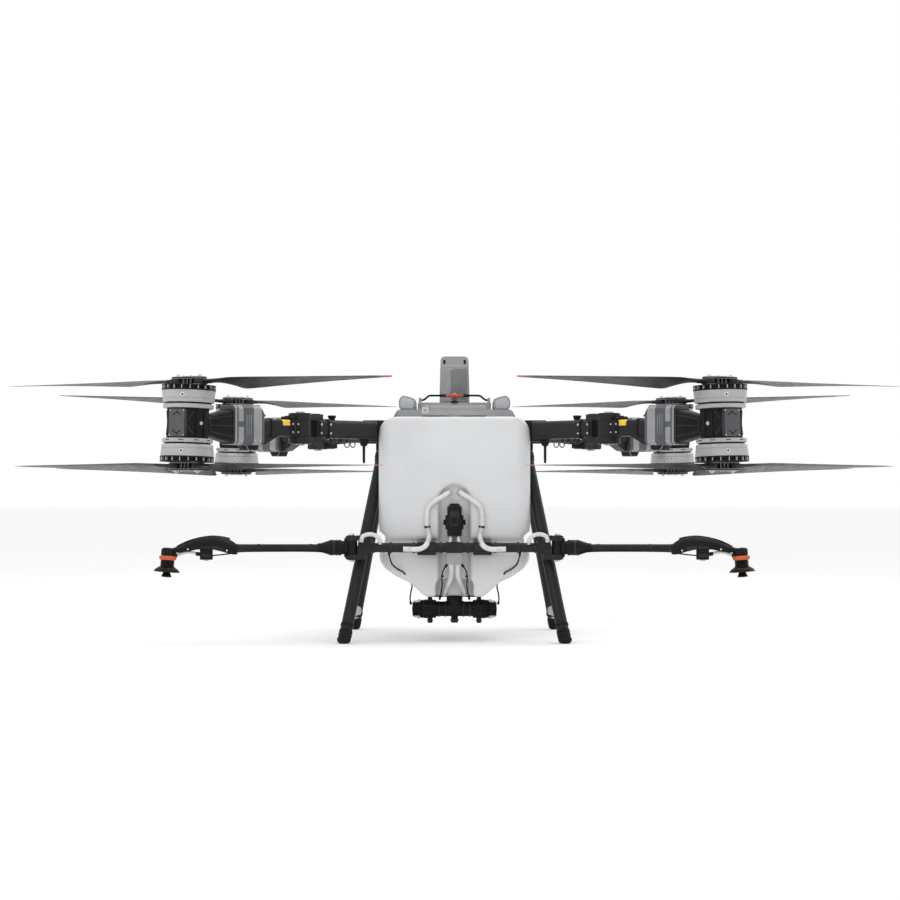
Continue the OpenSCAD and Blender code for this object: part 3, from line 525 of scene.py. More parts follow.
def blade(name, place, angle, out, lead):
    """Folding blade: round boss on its pin, then a twisted aerofoil with a bright tip."""
    piece = Piece(place @ turn(-angle - 45, "Z") @ turn(0 if out else 180, "Z") @ move(0, 0, BLADE_H))
    half = 13
    stations = [58, 70, 84, 96, 104, 116, 128, 139, 150, 163, 176, 190, 210, 230, 250, 290, 330, 370, 400,
                450, 500, 550, 600, 650, 700, TIP_START, TIP_START + 1, 755, 765, 773, 779, 783, 786, PROP_R]
    sections = []
    for r in stations:
        share = min(1, max(0, (r - 70) / 85))
        share = share * share * (3 - 2 * share)
        pitch = 13 - 8 * max(0, r - 190) / (PROP_R - 190)
        angle_here = math.radians(-pitch * min(1, (r - 58) / 95))
        section = []
        for i in range(2 * half):
            j = i if i <= half else 2 * half - i
            x = 0.5 * (1 - math.cos(math.pi * j / half))
            side = 1 if i <= half else -1
            foil = knots(TOP_SIDE if side > 0 else LOW_SIDE, x) if 0 < x < 1 else (0.0 if x < 0.5 else 0.05)
            slab = side * 0.5 * (1 - abs(2 * x - 1) ** 3) ** 0.6
            up = (slab * (1 - share) + foil * share) * knots(DEPTH, r)
            across = lead * (knots(LEAD, r) - x * knots(CHORD, r))
            up *= -lead
            section.append((r, across * math.cos(angle_here) - up * math.sin(angle_here),
                            across * math.sin(angle_here) + up * math.cos(angle_here)))
        sections.append(section)
    piece.loft(sections, 0)
    piece.disc(15, -7.5, 7.5, 0, move(BLADE_PIN_R, 0, 0), 40, 1.4)
    piece.disc(9.5, -8, 8, 1, move(BLADE_PIN_R, 0, 0), 28, 0.8)
    piece.prism(round_rect(42, 32, 12), -8, 7.9, 0, "z", move(50, 0, 0), 1.2)
    piece.prism(round_rect(34, 24, 8), -6.4, 6.4, 0, "z", move(72, 0, 0), 1.4)
    obj = piece.done(name + "_foil", name, [BLADE, STEEL, TIP], [name], angle=40)
    inverse = piece.place.inverted()
    for p in obj.data.polygons:
        if (inverse @ (p.center / MM)).x > TIP_START + 0.5:
            p.material_index = 2
    return obj


for corner_name, (side, end) in CORNERS.items():
    row = "front" if end > 0 else "rear"
    for level, up in (("upper", 1), ("lower", -1)):
        place = stack_place(side, end, up)
        angle = REST_ANGLES[(row, level)]
        rotor(f"rotor_{corner_name}_{level}", place, angle)
        for which in ("out", "in"):
            blade(f"blade_{corner_name}_{level}_{which}", place, angle, which == "out", -up)


# ------------------------------------------------------------------ motor mounts and speed controllers

POD_H = 47.5
MOUNT_MATS = [BLACK, MOTOR, STEEL, BLACK_EDGE, ESC_DARK]


def octagon(half, cut):
    return [(half, -cut), (half, cut), (cut, half), (-cut, half), (-half, cut), (-half, -cut), (-cut, -half),
            (cut, -half)]


def mount(name, place, arm):
    """Faceted pod between the two motors, with its flanges, ribs and sleeve."""
    piece = Piece(place)
    piece.prism(octagon(62, 26), -POD_H, POD_H, 0, "z", None, 2.0)
    for z in (-46, -17, 12, 41):
        piece.prism(octagon(62.8, 26.2), z, z + 4, 0, "z", None, 1.2)
    for up in (1, -1):
        at = Matrix.Diagonal((1, 1, up, 1))
        piece.lathe([(20, 46.5), (76, 46.5), (78, 48), (78, 57.5), (76.5, 59.4), (20, 59.4)], 1, at, 72,
                    ring=True)
        piece.lathe([(20, 60), (70, 60), (71, 61), (71, 63.4), (20, 63.4)], 0, at, 60, ring=True)
        piece.disc(66, 63, 64.4, 0, at, 60, 0.5)
        piece.disc(12, 60, 116.3, 2, at, 32, 1)
        for k in range(10 if up < 0 else 0):
            ray = at @ turn(36 * k, "Z")
            piece.box((73.6, -8, 51), (78.5, 8, 53.4), 0, ray, 0.4)
        for k in range(4):
            ray = at @ turn(90 * k + 45, "Z")
            piece.disc(3, 0, 2, 2, ray @ move(69.5, 0, 58.8), 12, 0.5)
        # Small tab for the motor wires on the inner side
        piece.box((-88, -9, 47.5), (-70, 9, 57), 1, at, 1.6)
        piece.disc(4, 0, 3, 0, at @ move(-82, 0, 56.4), 16, 0.6)
    # Outer panel on a slanted face, with one chevron up and one down; the panel is real, its grey lighter
    # than the pod is painted light of a lit facet
    panel_at = turn(21, "Z")
    piece.prism(round_rect(58, 88, 6), 48, 68.4, 4, "x", panel_at, 1.4)
    for z, up in ((22, 1), (-22, -1)):
        chevron = [(-15, z), (0, z + 9 * up), (15, z), (15, z + 3 * up), (0, z + 12 * up), (-15, z + 3 * up)]
        piece.prism(chevron, 68, 69.6, 0, "x", panel_at, 0.4)
    for y in (-24, 24):
        for z in (-38, 38):
            piece.disc(2.4, 68, 69.6, 2, panel_at @ ALONG["x"] @ move(y, z, 0), 12, 0.4)
    # Crossed ribs on the faces either side
    for face in (1, -1):
        ray = turn(45 * face, "Z")
        for tilt in (35, -35):
            piece.prism(round_rect(5, 92, 2), 60.5, 64, 3, "x", ray @ turn(tilt, "X"), 0.6)
        ray = turn(90 * face, "Z")
        for y in (-15, 15):
            piece.prism(round_rect(7, 84, 3), 60.5, 64.6, 0, "x", ray @ move(0, y, 0), 0.8)
        piece.disc(11, 60.5, 65, 3, ray @ ALONG["x"], 32, 1)
        piece.disc(6, 64, 66.4, 2, ray @ ALONG["x"], 6, 0.6)
    # Sleeve from the speed controller, with long ribs and a collar at each end
    piece.place = arm
    wide, narrow = ESC_END, MOTOR_U - 61
    sections = []
    for i in range(9):
        t = i / 8
        soft = t ** 1.35
        w, h = 72 + (52 - 72) * soft, 104 + (54 - 104) * soft
        x = wide + (narrow - wide) * t
        sections.append([(x, y, ARM_Z + 2 + z) for y, z in round_rect(w, h, 15, 5)])
    piece.loft(sections, 0)
    for lift in (-0.32, 0, 0.32):
        for face in (1, -1):
            path = []
            for t in (0.06, 0.5, 0.95):
                soft = t ** 1.35
                w, h = 72 + (52 - 72) * soft, 104 + (54 - 104) * soft
                path.append((wide + (narrow - wide) * t, face * (w / 2 - 0.6), ARM_Z + 2 + lift * h))
            piece.tube(smooth_path(path, 5), 2.2, 3, 8)
    for x, w, h in ((wide, 75, 106.5), (narrow - 9, 55.5, 57.5)):
        piece.prism(round_rect(w, h, 15), x + 0.4, x + 8, 3, "x", move(0, 0, ARM_Z + 2), 1.2)
    return piece.done(name + "_pod", body_of_node(name), MOUNT_MATS, [name])


ESC_MATS = [ESC, ESC_DARK, ESC_PAINTED_LIT, STEEL, BLACK]


def esc_section(x, width, low, high, cut):
    """Cross-section of the controller housing with its corners cut."""
    y = width / 2
    return [(x, y, low + cut), (x, y, high - cut), (x, y - cut, high), (x, cut - y, high),
            (x, -y, high - cut), (x, -y, low + cut), (x, cut - y, low), (x, y - cut, low)]


def controller(name, arm):
    """Speed controller housing: upright panels in three greys round a dark core; the light and dark bands are
    painted light and shade of facets lit differently.
    """
    piece = Piece(arm)
    piece.loft([esc_section(ESC_START, 71, 646, 752, 9), esc_section(ESC_START + 11, 75, 645, 767, 9),
                esc_section(ESC_END, 75, 645, 767, 9)], 1)
    # Bands along the housing: light grey (2) painted as lit facets, dark grey (1) painted as a shaded facet
    for x1, x2, low, high, mat in ((897, 931, 644, 768, 2), (931, 971, 644, 768, 1), (971, 993, 644, 707, 2),
                                   (971, 993, 709, 768, 2), (998, ESC_END, 644, 768, 2)):
        rims = ((x1 + 0.5, 75.4, 0.5), (x1 + 1.7, 77.4, 0), (x2 - 1.7, 77.4, 0), (x2 - 0.5, 75.4, 0.5))
        piece.loft([esc_section(x, w, low + e, high - e, 9) for x, w, e in rims], mat)
    for face in (1, -1):
        # Louvres of the dark band painted as shade and the screws of the light bands painted as lit
        side_at = Matrix.Diagonal((1, face, 1, 1))
        for x in (942, 951, 960):
            piece.box((x - 1.4, 38.2, 676), (x + 1.4, 39.8, 740), 0, side_at, 0.5)
        for x in (904, 924, 982):
            for z in (656, 757):
                piece.disc(2.6, 38, 39.6, 3, side_at @ move(x, 0, z) @ ALONG["y"], 12, 0.5)
    piece.prism(round_rect(68, 50, 8), 767, 770.5, 2, "z", move(944, 0, 0), 1.2)
    # Dark block under the housing
    piece.prism([(893, 644.5), (950, 644.5), (938, 626), (903, 626)], -22, 22, 4, "y", None, 2.0)
    # Cable glands on the inner face
    for y in (-14, 14):
        piece.rod((874, y, 738), (887, y, 738), 6, 4, 20)
        piece.rod((864, y, 738), (876, y, 738), 3.6, 4, 16)
    return piece.done(name + "_housing", body_of_node(name), ESC_MATS, [name])


for corner_name, (side, end) in CORNERS.items():
    mount(f"mount_{corner_name}", stack_place(side, end), arm_place(side, end))
    controller(f"esc_{corner_name}", arm_place(side, end))


# ------------------------------------------------------------------ arms and fold hinges

HINGE_MATS = [BLACK, STEEL, YELLOW, BLACK_EDGE]


def arm_details(corner_name, side, end):
    """Collars, patch, latch and clamps of one folding arm."""
    piece = Piece(arm_place(side, end))
    body = f"arm_{corner_name}"
    top = ARM_Z + 26.5
    for x in (HINGE_U + 40, 836):
        for w, x1, x2 in ((57, x, x + 15), (59.5, x + 4, x + 11)):
            ring = round_rect(w, w, 13)
            piece.prism(ring, x1, x2, 0 if w < 58 else 3, "x", move(0, 0, ARM_Z), 1.2)
    # Plain yellow patch wrapped over the top of the tube
    wrap = [(y, z) for y, z in round_rect(54, 54, 12.5) if z > 8]
    wrap = [(27, 8)] + wrap + [(-27, 8)]
    wrap += [(y * 0.975, z * 0.975 if z > 9 else z) for y, z in reversed(wrap)]
    piece.prism(wrap, 764, 800, 2, "x", move(0, 0, ARM_Z))
    # Over-centre latch on top of the hinge: base, lever, hook and its two knobs
    piece.box((HINGE_U + 26, -16, top - 1), (HINGE_U + 62, 16, top + 9), 0, None, 2.5)
    piece.box((HINGE_U + 34, -11, top + 8), (HINGE_U + 58, 11, top + 14), 3, None, 2.0)
    piece.rod((HINGE_U + 52, -21, top + 5), (HINGE_U + 52, 21, top + 5), 4, 1, 16)
    for y in (-1, 1):
        piece.rod((HINGE_U + 52, y * 21, top + 5), (HINGE_U + 52, y * 27, top + 5), 7.5, 0, 20, 1.2)
        # Side cheeks with bolts
        piece.box((HINGE_U + 24, y * 26 - 2.5, ARM_Z - 22), (HINGE_U + 66, y * 26 + 2.5, ARM_Z + 22), 0, None,
                  2.0)
        for x in (34, 56):
            for z in (-13, 13):
                piece.rod((HINGE_U + x, y * 27, ARM_Z + z), (HINGE_U + x, y * 31, ARM_Z + z), 3.8, 1, 6, 0.6)
    return piece.done(body + "_fittings", body, HINGE_MATS)


def root_details(corner_name, side, end):
    """Collars, lug bosses, knobs and wire loops of one fixed root tube."""
    piece = Piece(corner(side, end) @ move(HINGE_XY, HINGE_XY, ARM_Z) @ turn(50, "Z"))
    for x in (-118, -74):
        piece.prism(round_rect(64, 64, 14), x, x + 18, 0, "x", None, 1.6)
        piece.prism(round_rect(66, 66, 14), x + 5, x + 13, 3, "x", None, 1.2)
    for up in (1, -1):
        at = Matrix.Diagonal((1, 1, up, 1))
        piece.lathe([(15, 46.4), (33, 46.4), (35, 47.6), (35, 49), (33, 50), (15, 50)], 3, at, 48, ring=True)
        piece.disc(15.5, 52.4, 54.2, 0, at, 6, 0.8)
        for k in range(4):
            piece.disc(2.8, 46.6, 50.6, 1, at @ turn(90 * k + 45, "Z") @ move(25, 0, 0), 12, 0.5)
        for y in (-1, 1):
            piece.box((-70, y * 18 - 7, 45.6), (-40, y * 18 + 7, 49), 3, at, 1.4)
    # Clamp bolts on the sides
    for y in (-1, 1):
        for x in (-109, -65):
            piece.rod((x, y * 31, 14), (x, y * 36, 14), 4.5, 1, 6, 0.7)
            piece.rod((x, y * 31, -14), (x, y * 36, -14), 4.5, 1, 6, 0.7)
    # Knob of the root clamp and the wire loops below the tube
    piece.disc(11, 30, 40, 0, move(-150, 0, 0), 24, 2)
    piece.disc(14, 38, 46, 0, move(-150, 0, 0), 10, 2)
    for x in (-208, -174):
        loop = [(x - 13, 0, -29), (x - 12, 0, -40), (x, 0, -46), (x + 12, 0, -40), (x + 13, 0, -29)]
        piece.tube(smooth_path(loop, 6), 1.8, 0, 8)
    return piece.done(f"root_{corner_name}_fittings", "root", HINGE_MATS)


for corner_name, (side, end) in CORNERS.items():
    refine(f"arm_{corner_name}", [CARBON], 1.6)
    arm_details(corner_name, side, end)
    root_details(corner_name, side, end)
refine("arm_roots", [CARBON], 1.6)
refine("hinge_pins", [STEEL], 1.2)
refine("center_frame", [FRAME], 1.5)


# ------------------------------------------------------------------ tank and lid

def boolean(obj, outline, low, high, along, operation):
    """Cuts a prism out of a mesh, or keeps only what is inside it."""
    tool_piece = Piece()
    tool_piece.prism(outline, low, high, 0, along)
    bmesh.ops.recalc_face_normals(tool_piece.bm, faces=tool_piece.bm.faces)
    mesh = bpy.data.meshes.new("tool")
    tool_piece.bm.to_mesh(mesh)
    tool_piece.bm.free()
    mesh.transform(Matrix.Scale(MM, 4))
    tool = bpy.data.objects.new("tool", mesh)
    scene.collection.objects.link(tool)
    modifier = obj.modifiers.new("cut", "BOOLEAN")
    modifier.operation = operation
    modifier.solver = "EXACT"
    modifier.object = tool
    apply_modifiers(obj)
    bpy.data.objects.remove(tool)


def apply_modifiers(obj):
    bpy.context.view_layer.update()
    fresh = bpy.data.meshes.new_from_object(obj.evaluated_get(bpy.context.evaluated_depsgraph_get()))
    obj.modifiers.clear()
    obj.data = fresh


def tank_outline():
    """Seen from the rear: square shoulders above, a keel-shaped hull below."""
    points = []
    for i in range(9):
        a = math.radians(90 * i / 8)
        points.append((194 + 60 * math.cos(a), 686 + 60 * math.sin(a)))
    low = [(-228, 352), (-236, 316), (-252, 292), (-250, 268), (-230, 240), (-192, 214), (-152, 196),
           (-112, 160), (-96, 147)]
    left = [(-x, z) for x, z in reversed(points)]
    right = [(-x, z) for x, z in reversed(low)]
    return points + left + [(-254, 362)] + low + right + [(254, 362)]


def tank_plan():
    """Seen from above: a wide head at the rear and a narrower body."""
    side = []
    for i in range(9):
        a = math.radians(-90 + 90 * i / 8)
        side.append((197 + 57 * math.cos(a), -228 + 57 * math.sin(a)))
    side += [(200, -227), (200, 58)]
    return side + [(-x, y) for x, y in reversed(side)]


def make_tank():
    """Blow-moulded tank: the CAD outline with its edges rounded by remeshing and smoothing."""
    piece = Piece()
    piece.prism(tank_outline(), -300, 100, 0, "y")
    obj = piece.done("tank_fine", "root", [TANK], ["tank"])
    boolean(obj, tank_plan(), 100, 800, "z", "INTERSECT")
    channel = [(-50, 100), (50, 100)] + [(50 * math.cos(math.radians(15 * i)),
                                          470 + 50 * math.sin(math.radians(15 * i)))
                                         for i in range(13)]
    boolean(obj, channel, TANK_REAR - 20, TANK_REAR + 20, "y", "DIFFERENCE")
    # Notch in the keel for the hoses down to the pumps
    notch = [(-62, 100), (62, 100), (62, 194), (50, 205), (-50, 205), (-62, 194)]
    boolean(obj, notch, -320, -205, "y", "DIFFERENCE")
    boolean(obj, [(-300, 294), (300, 294), (300, 338), (-300, 338)], TANK_REAR - 20, TANK_REAR + 16, "y",
            "DIFFERENCE")
    well = [(45 * math.cos(math.radians(10 * i)),
             FILLER_Y + 45 * math.sin(math.radians(10 * i))) for i in range(36)]
    boolean(obj, well, 640, 800, "z", "DIFFERENCE")
    remesh = obj.modifiers.new("remesh", "REMESH")
    remesh.mode = "VOXEL"
    remesh.voxel_size = 0.0055
    soften = obj.modifiers.new("soften", "SMOOTH")
    soften.factor = 0.5
    soften.iterations = 13
    apply_modifiers(obj)
    for p in obj.data.polygons:
        p.use_smooth = True
    obj.data.materials.clear()
    obj.data.materials.append(TANK)
    return obj


make_tank()

piece = Piece()
# Filler neck with two thread rings, strainer basket and the lid's hinge
piece.lathe([(45.4, 741), (51.5, 741), (52, 748), (53, 748.6), (53, 749.8), (52, 750.4), (52, 752.4),
             (50.5, 753), (45.4, 753)], 0, move(0, FILLER_Y, 0), 48, ring=True)
piece.lathe([(37, 652), (44.4, 652), (44.4, 751), (46.5, 751.5), (46.5, 753.4), (41, 753.4), (41, 656),
             (37, 655)], 1,
            move(0, FILLER_Y, 0), 48, ring=True)
piece.disc(38, 651, 654, 1, move(0, FILLER_Y, 0), 40)
for k in range(8):
    piece.box((-1.5, -37, 653), (1.5, 37, 657), 2, move(0, FILLER_Y, 0) @ turn(22.5 * k, "Z"), 0.4)
piece.rod((-60, -148, 755), (60, -148, 755), 2.5, 3, 16)
for x in (-1, 1):
    piece.prism([(-153, 744), (-143, 744), (-143, 756), (-145, 760), (-151, 760), (-153, 756)], 52, 60, 0,
                "x", corner(x, 1), 1.2)
piece.done("tank_neck", "root", [TANK, BLACK, BLACK_EDGE, STEEL])


def make_lid():
    """Grey lid: body, cap plate lightened as a painted highlight, latch end and grip ribs."""
    piece = Piece()
    piece.prism(round_rect(217, 113, 12), 749, 770, 0, "z", move(-1.5, -211.5, 0), 2.0)
    piece.prism(round_rect(210, 106, 11), 769, 783, 0, "z", move(-1.5, -211.5, 0), 3.2)
    piece.prism(round_rect(217.4, 113.4, 12), 765, 767.5, 1, "z", move(-1.5, -211.5, 0), 0.8)
    # Painted highlight: light cap patch at the left end, with a small dark mark
    piece.box((-109.8, -269.4, 754), (-84, -173, 779), 2, None, 2.4)
    piece.box((-101, -270, 763), (-94, -268, 770), 1, None, 0.5)
    for k in range(5):
        piece.box((-40 + 18 * k, -250, 782), (-34 + 18 * k, -176, 785.5), 1, None, 1.2)
    for x in (-92, 90):
        for y in (-256, -167):
            piece.disc(4, 782, 784, 3, move(x, y, 0), 6, 0.5)
    piece.rod((-51, -148, 755), (51, -148, 755), 5, 0, 24)
    piece.box((-51, -157, 751), (51, -150, 759), 0, None, 1.0)
    return piece.done("filler_lid_fine", "filler_lid", [SHELL, SHELL_DARK, SHELL_LIGHT, STEEL],
                      ["filler_lid"])


make_lid()


# ------------------------------------------------------------------ shell, mast and battery

SHELL_MATS = [SHELL, SHELL_DARK, SHELL_LIGHT, BLACK, STEEL]


def deck_rule(centre, normal):
    """Lighter guide blocks on the grey deck."""
    if centre.z > 776:
        return 2 if normal.z > 0.6 else 0
    return 2 if abs(normal.x) > 0.3 and centre.z > 769 else 0


refine("body_shell", SHELL_MATS, 2.4, deck_rule)
piece = Piece()
for x in (-1, 1):
    side = corner(x, 1)
    for y in (-40, 210):
        piece.prism([(142, 776), (178, 776), (186, 785), (186, 806), (181, 815), (173, 820), (151, 814),
                     (138, 808), (138, 784)], y, y + 14, 1, "y", side, 1.0)
    # Cap at the rear end of each guide block
    piece.prism([(144, 779), (177, 779), (186, 786), (186, 806), (180, 815), (173, 819), (152, 813.5),
                 (138.5, 807.5), (138.5, 786)], -62.5, -58, 2, "y", side, 1.2)
    # Guide rails beside the battery and the panel joints of the deck
    piece.box((134, 76, 775), (138.5, 258, 800), 1, side, 1.0)
    for y in (-84.6, 20, 290):
        piece.box((100, y, 773.5), (188, y + 2.2, 775.7), 1, side, 0.3)
    for y in (-66, 0, 300, 340):
        piece.disc(4, 774.5, 776.8, 4, move(x * 118, y, 0), 6, 0.5)
    piece.prism(round_rect(44, 60, 6), 774.6, 776.4, 1, "z", move(x * 96, -30, 0), 0.6)
    # Side skirt strip under the deck's edge
    piece.box((214.6, -80, 738), (217.5, 345, 744), 1, side, 0.8)
piece.prism(round_rect(120, 40, 8), 774.6, 777.5, 2, "z", move(0, -45, 0), 1.0)
piece.prism(round_rect(104, 26, 6), 777, 778.6, 1, "z", move(0, -45, 0), 0.6)
piece.done("body_shell_details", "root", SHELL_MATS)


# Painted light and shade on the mast: faces turned to -x take the light grey as lit, faces turned to +x the
# dark grey as shaded
def mast_painted_light_rule(centre, normal):
    if normal.x < -0.5:
        return 2
    return 1 if normal.x > 0.5 else 0


refine("sensor_mast", SHELL_MATS, 3.0, mast_painted_light_rule)
piece = Piece()
for face, y in ((1, 275), (-1, 329)):
    low, high = (y - 1.4, y + 1) if face > 0 else (y - 1, y + 1.4)
    # One large darker panel below a light band with two oval vents
    piece.prism([(-14, 784), (46, 784), (46, 934), (-6, 934), (-14, 924)], low, high, 1, "y", None, 0.6)
    piece.box((-46, low, 940), (46, high, 944), 2, None, 0.5)
    for x in (-36, 36):
        oval = [(x + dx, 957 + dz) for dx, dz in round_rect(9, 16, 4.4)]
        piece.prism(oval, low - 0.3 * face, high, 3, "y", None, 0.5)
piece.prism(round_rect(116, 62, 8), 775, 783, 1, "z", move(0, MAST_Y, 0), 2.0)
piece.prism(round_rect(60, 30, 8), 976, 976.9, 2, "z", move(0, MAST_Y, 0), 0.3)
piece.done("sensor_mast_details", "root", SHELL_MATS)


def battery_rule(centre, normal):
    return 1 if centre.z > 804 and abs(centre.x) < 41 else 0


refine("battery", SHELL_MATS, 2.0, battery_rule)
piece = Piece()
for x in (-1, 1):
    for k in range(6):
        piece.box((60 + 10 * k, 108, 804.5), (64 + 10 * k, 178, 807.5), 1, corner(x, 1), 0.8)
    piece.box((50, 210, 804), (108, 252, 810), 1, corner(x, 1), 2.0)
    piece.rod((x * 121.5, 190, 818), (x * 126, 190, 818), 6, 4, 20)
piece.box((-36, 108, 812), (36, 196, 815.5), 2, None, 1.6)
piece.box((-26, 118, 815), (26, 186, 817.5), 0, None, 1.2)
for k in range(4):
    piece.disc(2.6, 816, 818.4, 3, move(-12 + 8 * k, 126, 0), 16, 0.5)
piece.box((-30, 212, 804), (30, 250, 814), 3, None, 2.4)
piece.lathe([(4.2, 804), (13, 804), (13, 808), (11, 810), (4.2, 810)], 3, move(0, LATCH_Y, 0), 32, ring=True)
piece.done("battery_details", "battery", SHELL_MATS)

# Bent carrying handle
piece = Piece()
route = [(124, 190, 818), (112, 190, 818), (104, 176, 821), (92, 134, 829), (84, 121, 831), (72, 120, 831.2),
         (30, 120, 831.2)]
half = smooth_path(route, 6)
whole = half + [Vector((-p.x, p.y, p.z)) for p in reversed(half)]
piece.tube(whole, 3.6, 0, 14)
piece.rod((-52, 120, 831.2), (52, 120, 831.2), 5.2, 0, 20, 1.6)
for k in range(9):
    piece.rod((-42 + 10 * k, 120, 831.2), (-39.5 + 10 * k, 120, 831.2), 5.8, 1, 20, 0.5)
piece.done("battery_handle_fine", "battery_handle", [BLACK, BLACK_EDGE], ["battery_handle"])

# Quarter-turn latch: stem darkened as painted shade, winged grip and ball
piece = Piece(move(0, LATCH_Y, 0))
piece.disc(4, 786, 828, 1, None, 20)
piece.disc(9, 813, 817, 1, None, 28, 1.2)
piece.disc(6, 816, 826, 1, None, 24, 1.0)
wing = [(-30, -2.6), (-27, -4.6), (-12, -5.4), (12, -5.4), (27, -4.6), (30, -2.6), (30, 2.6), (27, 4.6),
        (12, 5.4), (-12, 5.4), (-27, 4.6), (-30, 2.6)]
piece.prism(wing, 826, 833.8, 0, "z", None, 1.6)
dome = [(8 * math.sin(math.radians(15 * k)), 831 - 8 * math.cos(math.radians(15 * k))) for k in range(13)]
piece.lathe(dome, 0, None, 28)
# Grip ribs in the orange darkened as painted shade
for x in (-1, 1):
    for k in range(3):
        piece.box((x * (16 + 4 * k) - 0.8, -5.8, 827.5), (x * (16 + 4 * k) + 0.8, 5.8, 832.6), 1, None, 0.3)
piece.done("battery_latch_fine", "battery_latch", [ORANGE, ORANGE_PAINTED_SHADE], ["battery_latch"])

# Forward camera: barrel with end caps, lens hood and glass
piece = Piece(move(*CAMERA_PLACE))
piece.disc(24, -37, 37, 0, ALONG["x"], 48, 2.5)
for x in (-1, 1):
    piece.disc(19, 36, 38.2, 1, corner(x, 1) @ ALONG["x"], 40, 1)
    piece.lathe([(23, 12), (24.6, 13), (24.6, 15), (23, 16)], 1, corner(x, 1) @ ALONG["x"], 48, ring=True)
face_out = ALONG["y"]
piece.lathe([(8, 20), (11, 20), (11, 33), (10, 34), (8.6, 34), (8, 30)], 0, face_out, 36, ring=True)
piece.lathe([(0, 31), (4, 30.6), (8.4, 28.6), (8.4, 26), (0, 26)], 2, face_out, 32)
piece.lathe([(14, 20), (17, 20), (17, 24.6), (15.6, 25.6), (14, 25)], 1, face_out, 40, ring=True)
piece.done("front_camera_fine", "front_camera", [BLACK, BLACK_EDGE, LENS], ["front_camera"])


# ------------------------------------------------------------------ spray bar, lances and spray heads

SPRAY_MATS = [BLACK, BLACK_EDGE, STEEL, FRAME, SHELL, HOSE, ORANGE]


def bar_rule(centre, normal):
    if abs(centre.x) < 31 and centre.z > 345:
        return 1
    return 2 if abs(centre.x) < 27 and centre.z < 296 else 0


refine("spray_bar", [FRAME, BLACK, SHELL], 1.4, bar_rule)
piece = Piece()
# Valve unit: cap, side solenoids, screws and its light legs
piece.prism(round_rect(40, 44, 6), 445, 452, 1, "z", move(0, TANK_REAR - 2, 0), 1.6)
piece.prism(round_rect(30, 30, 6), 451, 457, 0, "z", move(0, TANK_REAR - 2, 0), 1.4)
piece.box((-17, TANK_REAR - 31, 382), (17, TANK_REAR - 26, 436), 1, None, 2.0)
piece.box((-12, TANK_REAR - 33, 390), (12, TANK_REAR - 30, 412), 0, None, 1.4)
for x in (-1, 1):
    piece.rod((x * 26, TANK_REAR - 6, 395), (x * 37, TANK_REAR - 6, 395), 9, 0, 24, 1.4)
    piece.rod((x * 36, TANK_REAR - 6, 395), (x * 39, TANK_REAR - 6, 395), 5, 2, 6, 0.6)
    piece.rod((x * 18, TANK_REAR - 27, 440), (x * 18, TANK_REAR - 30, 440), 3, 1, 6, 0.5)
    # Light legs from the unit down to the bar
    leg = smooth_path([(x * 14, TANK_REAR - 14, 352), (x * 13, TANK_REAR - 20, 340),
                       (x * 16, TANK_REAR - 26, 326)], 5)
    piece.tube(leg, 6.5, 5, 14)
    # Ribs, collars and screws along the bar
    for x1 in (40, 130, 205, 262):
        piece.lathe([(14.8, x1), (18.2, x1 + 1), (18.2, x1 + 8), (14.8, x1 + 9)], 1,
                    corner(x, 1) @ move(0, BAR_Y, BAR_Z) @ ALONG["x"], 36, ring=True)
    for z in (-15, 15):
        for dx in (72, 112):
            piece.rod((x * dx, BAR_Y - 19, BAR_Z + z), (x * dx, BAR_Y - 23, BAR_Z + z), 3.4, 1, 6, 0.6)
    piece.box((66, BAR_Y - 21.5, BAR_Z - 9), (118, BAR_Y - 19, BAR_Z + 9), 1, corner(x, 1), 1.0)
    # Leg clamp: split line, bolts and ribs
    piece.box((270.5, BAR_Y - 19, BAR_Z - 3), (313.5, BAR_Y + 49, BAR_Z + 3), 1, corner(x, 1), 1.0)
    for dx in (277, 307):
        for z in (-14, 14):
            piece.rod((x * dx, BAR_Y - 16, BAR_Z + z), (x * dx, BAR_Y - 21, BAR_Z + z), 3.6, 1, 6, 0.6)
    # Fork caps and their pin nuts
    for up in (1, -1):
        at = corner(x, 1) @ move(LANCE_PIN, BAR_Y, BAR_Z) @ Matrix.Diagonal((1, 1, up, 1))
        piece.disc(13, 38, 41, 1, at, 32, 1)
        piece.disc(8.5, 40, 46, 2, at, 6, 1)
        piece.box((-44, -14, 37.8), (-16, 14, 40.4), 1, at, 1.2)
# Block under the middle of the bar with its sockets
piece.prism(round_rect(56, 34, 5), 262, 290, 4, "z", move(0, BAR_Y + 22, 0), 2.0)
for x in (-11, 11):
    piece.rod((x, BAR_Y + 18, 266), (x, BAR_Y + 20, 250), 10, 5, 24, 1.2)
for x in (-20, 20):
    piece.rod((x, BAR_Y + 6, 276), (x, BAR_Y + 2.5, 276), 3.2, 2, 6, 0.5)
piece.done("spray_bar_details", "root", SPRAY_MATS)


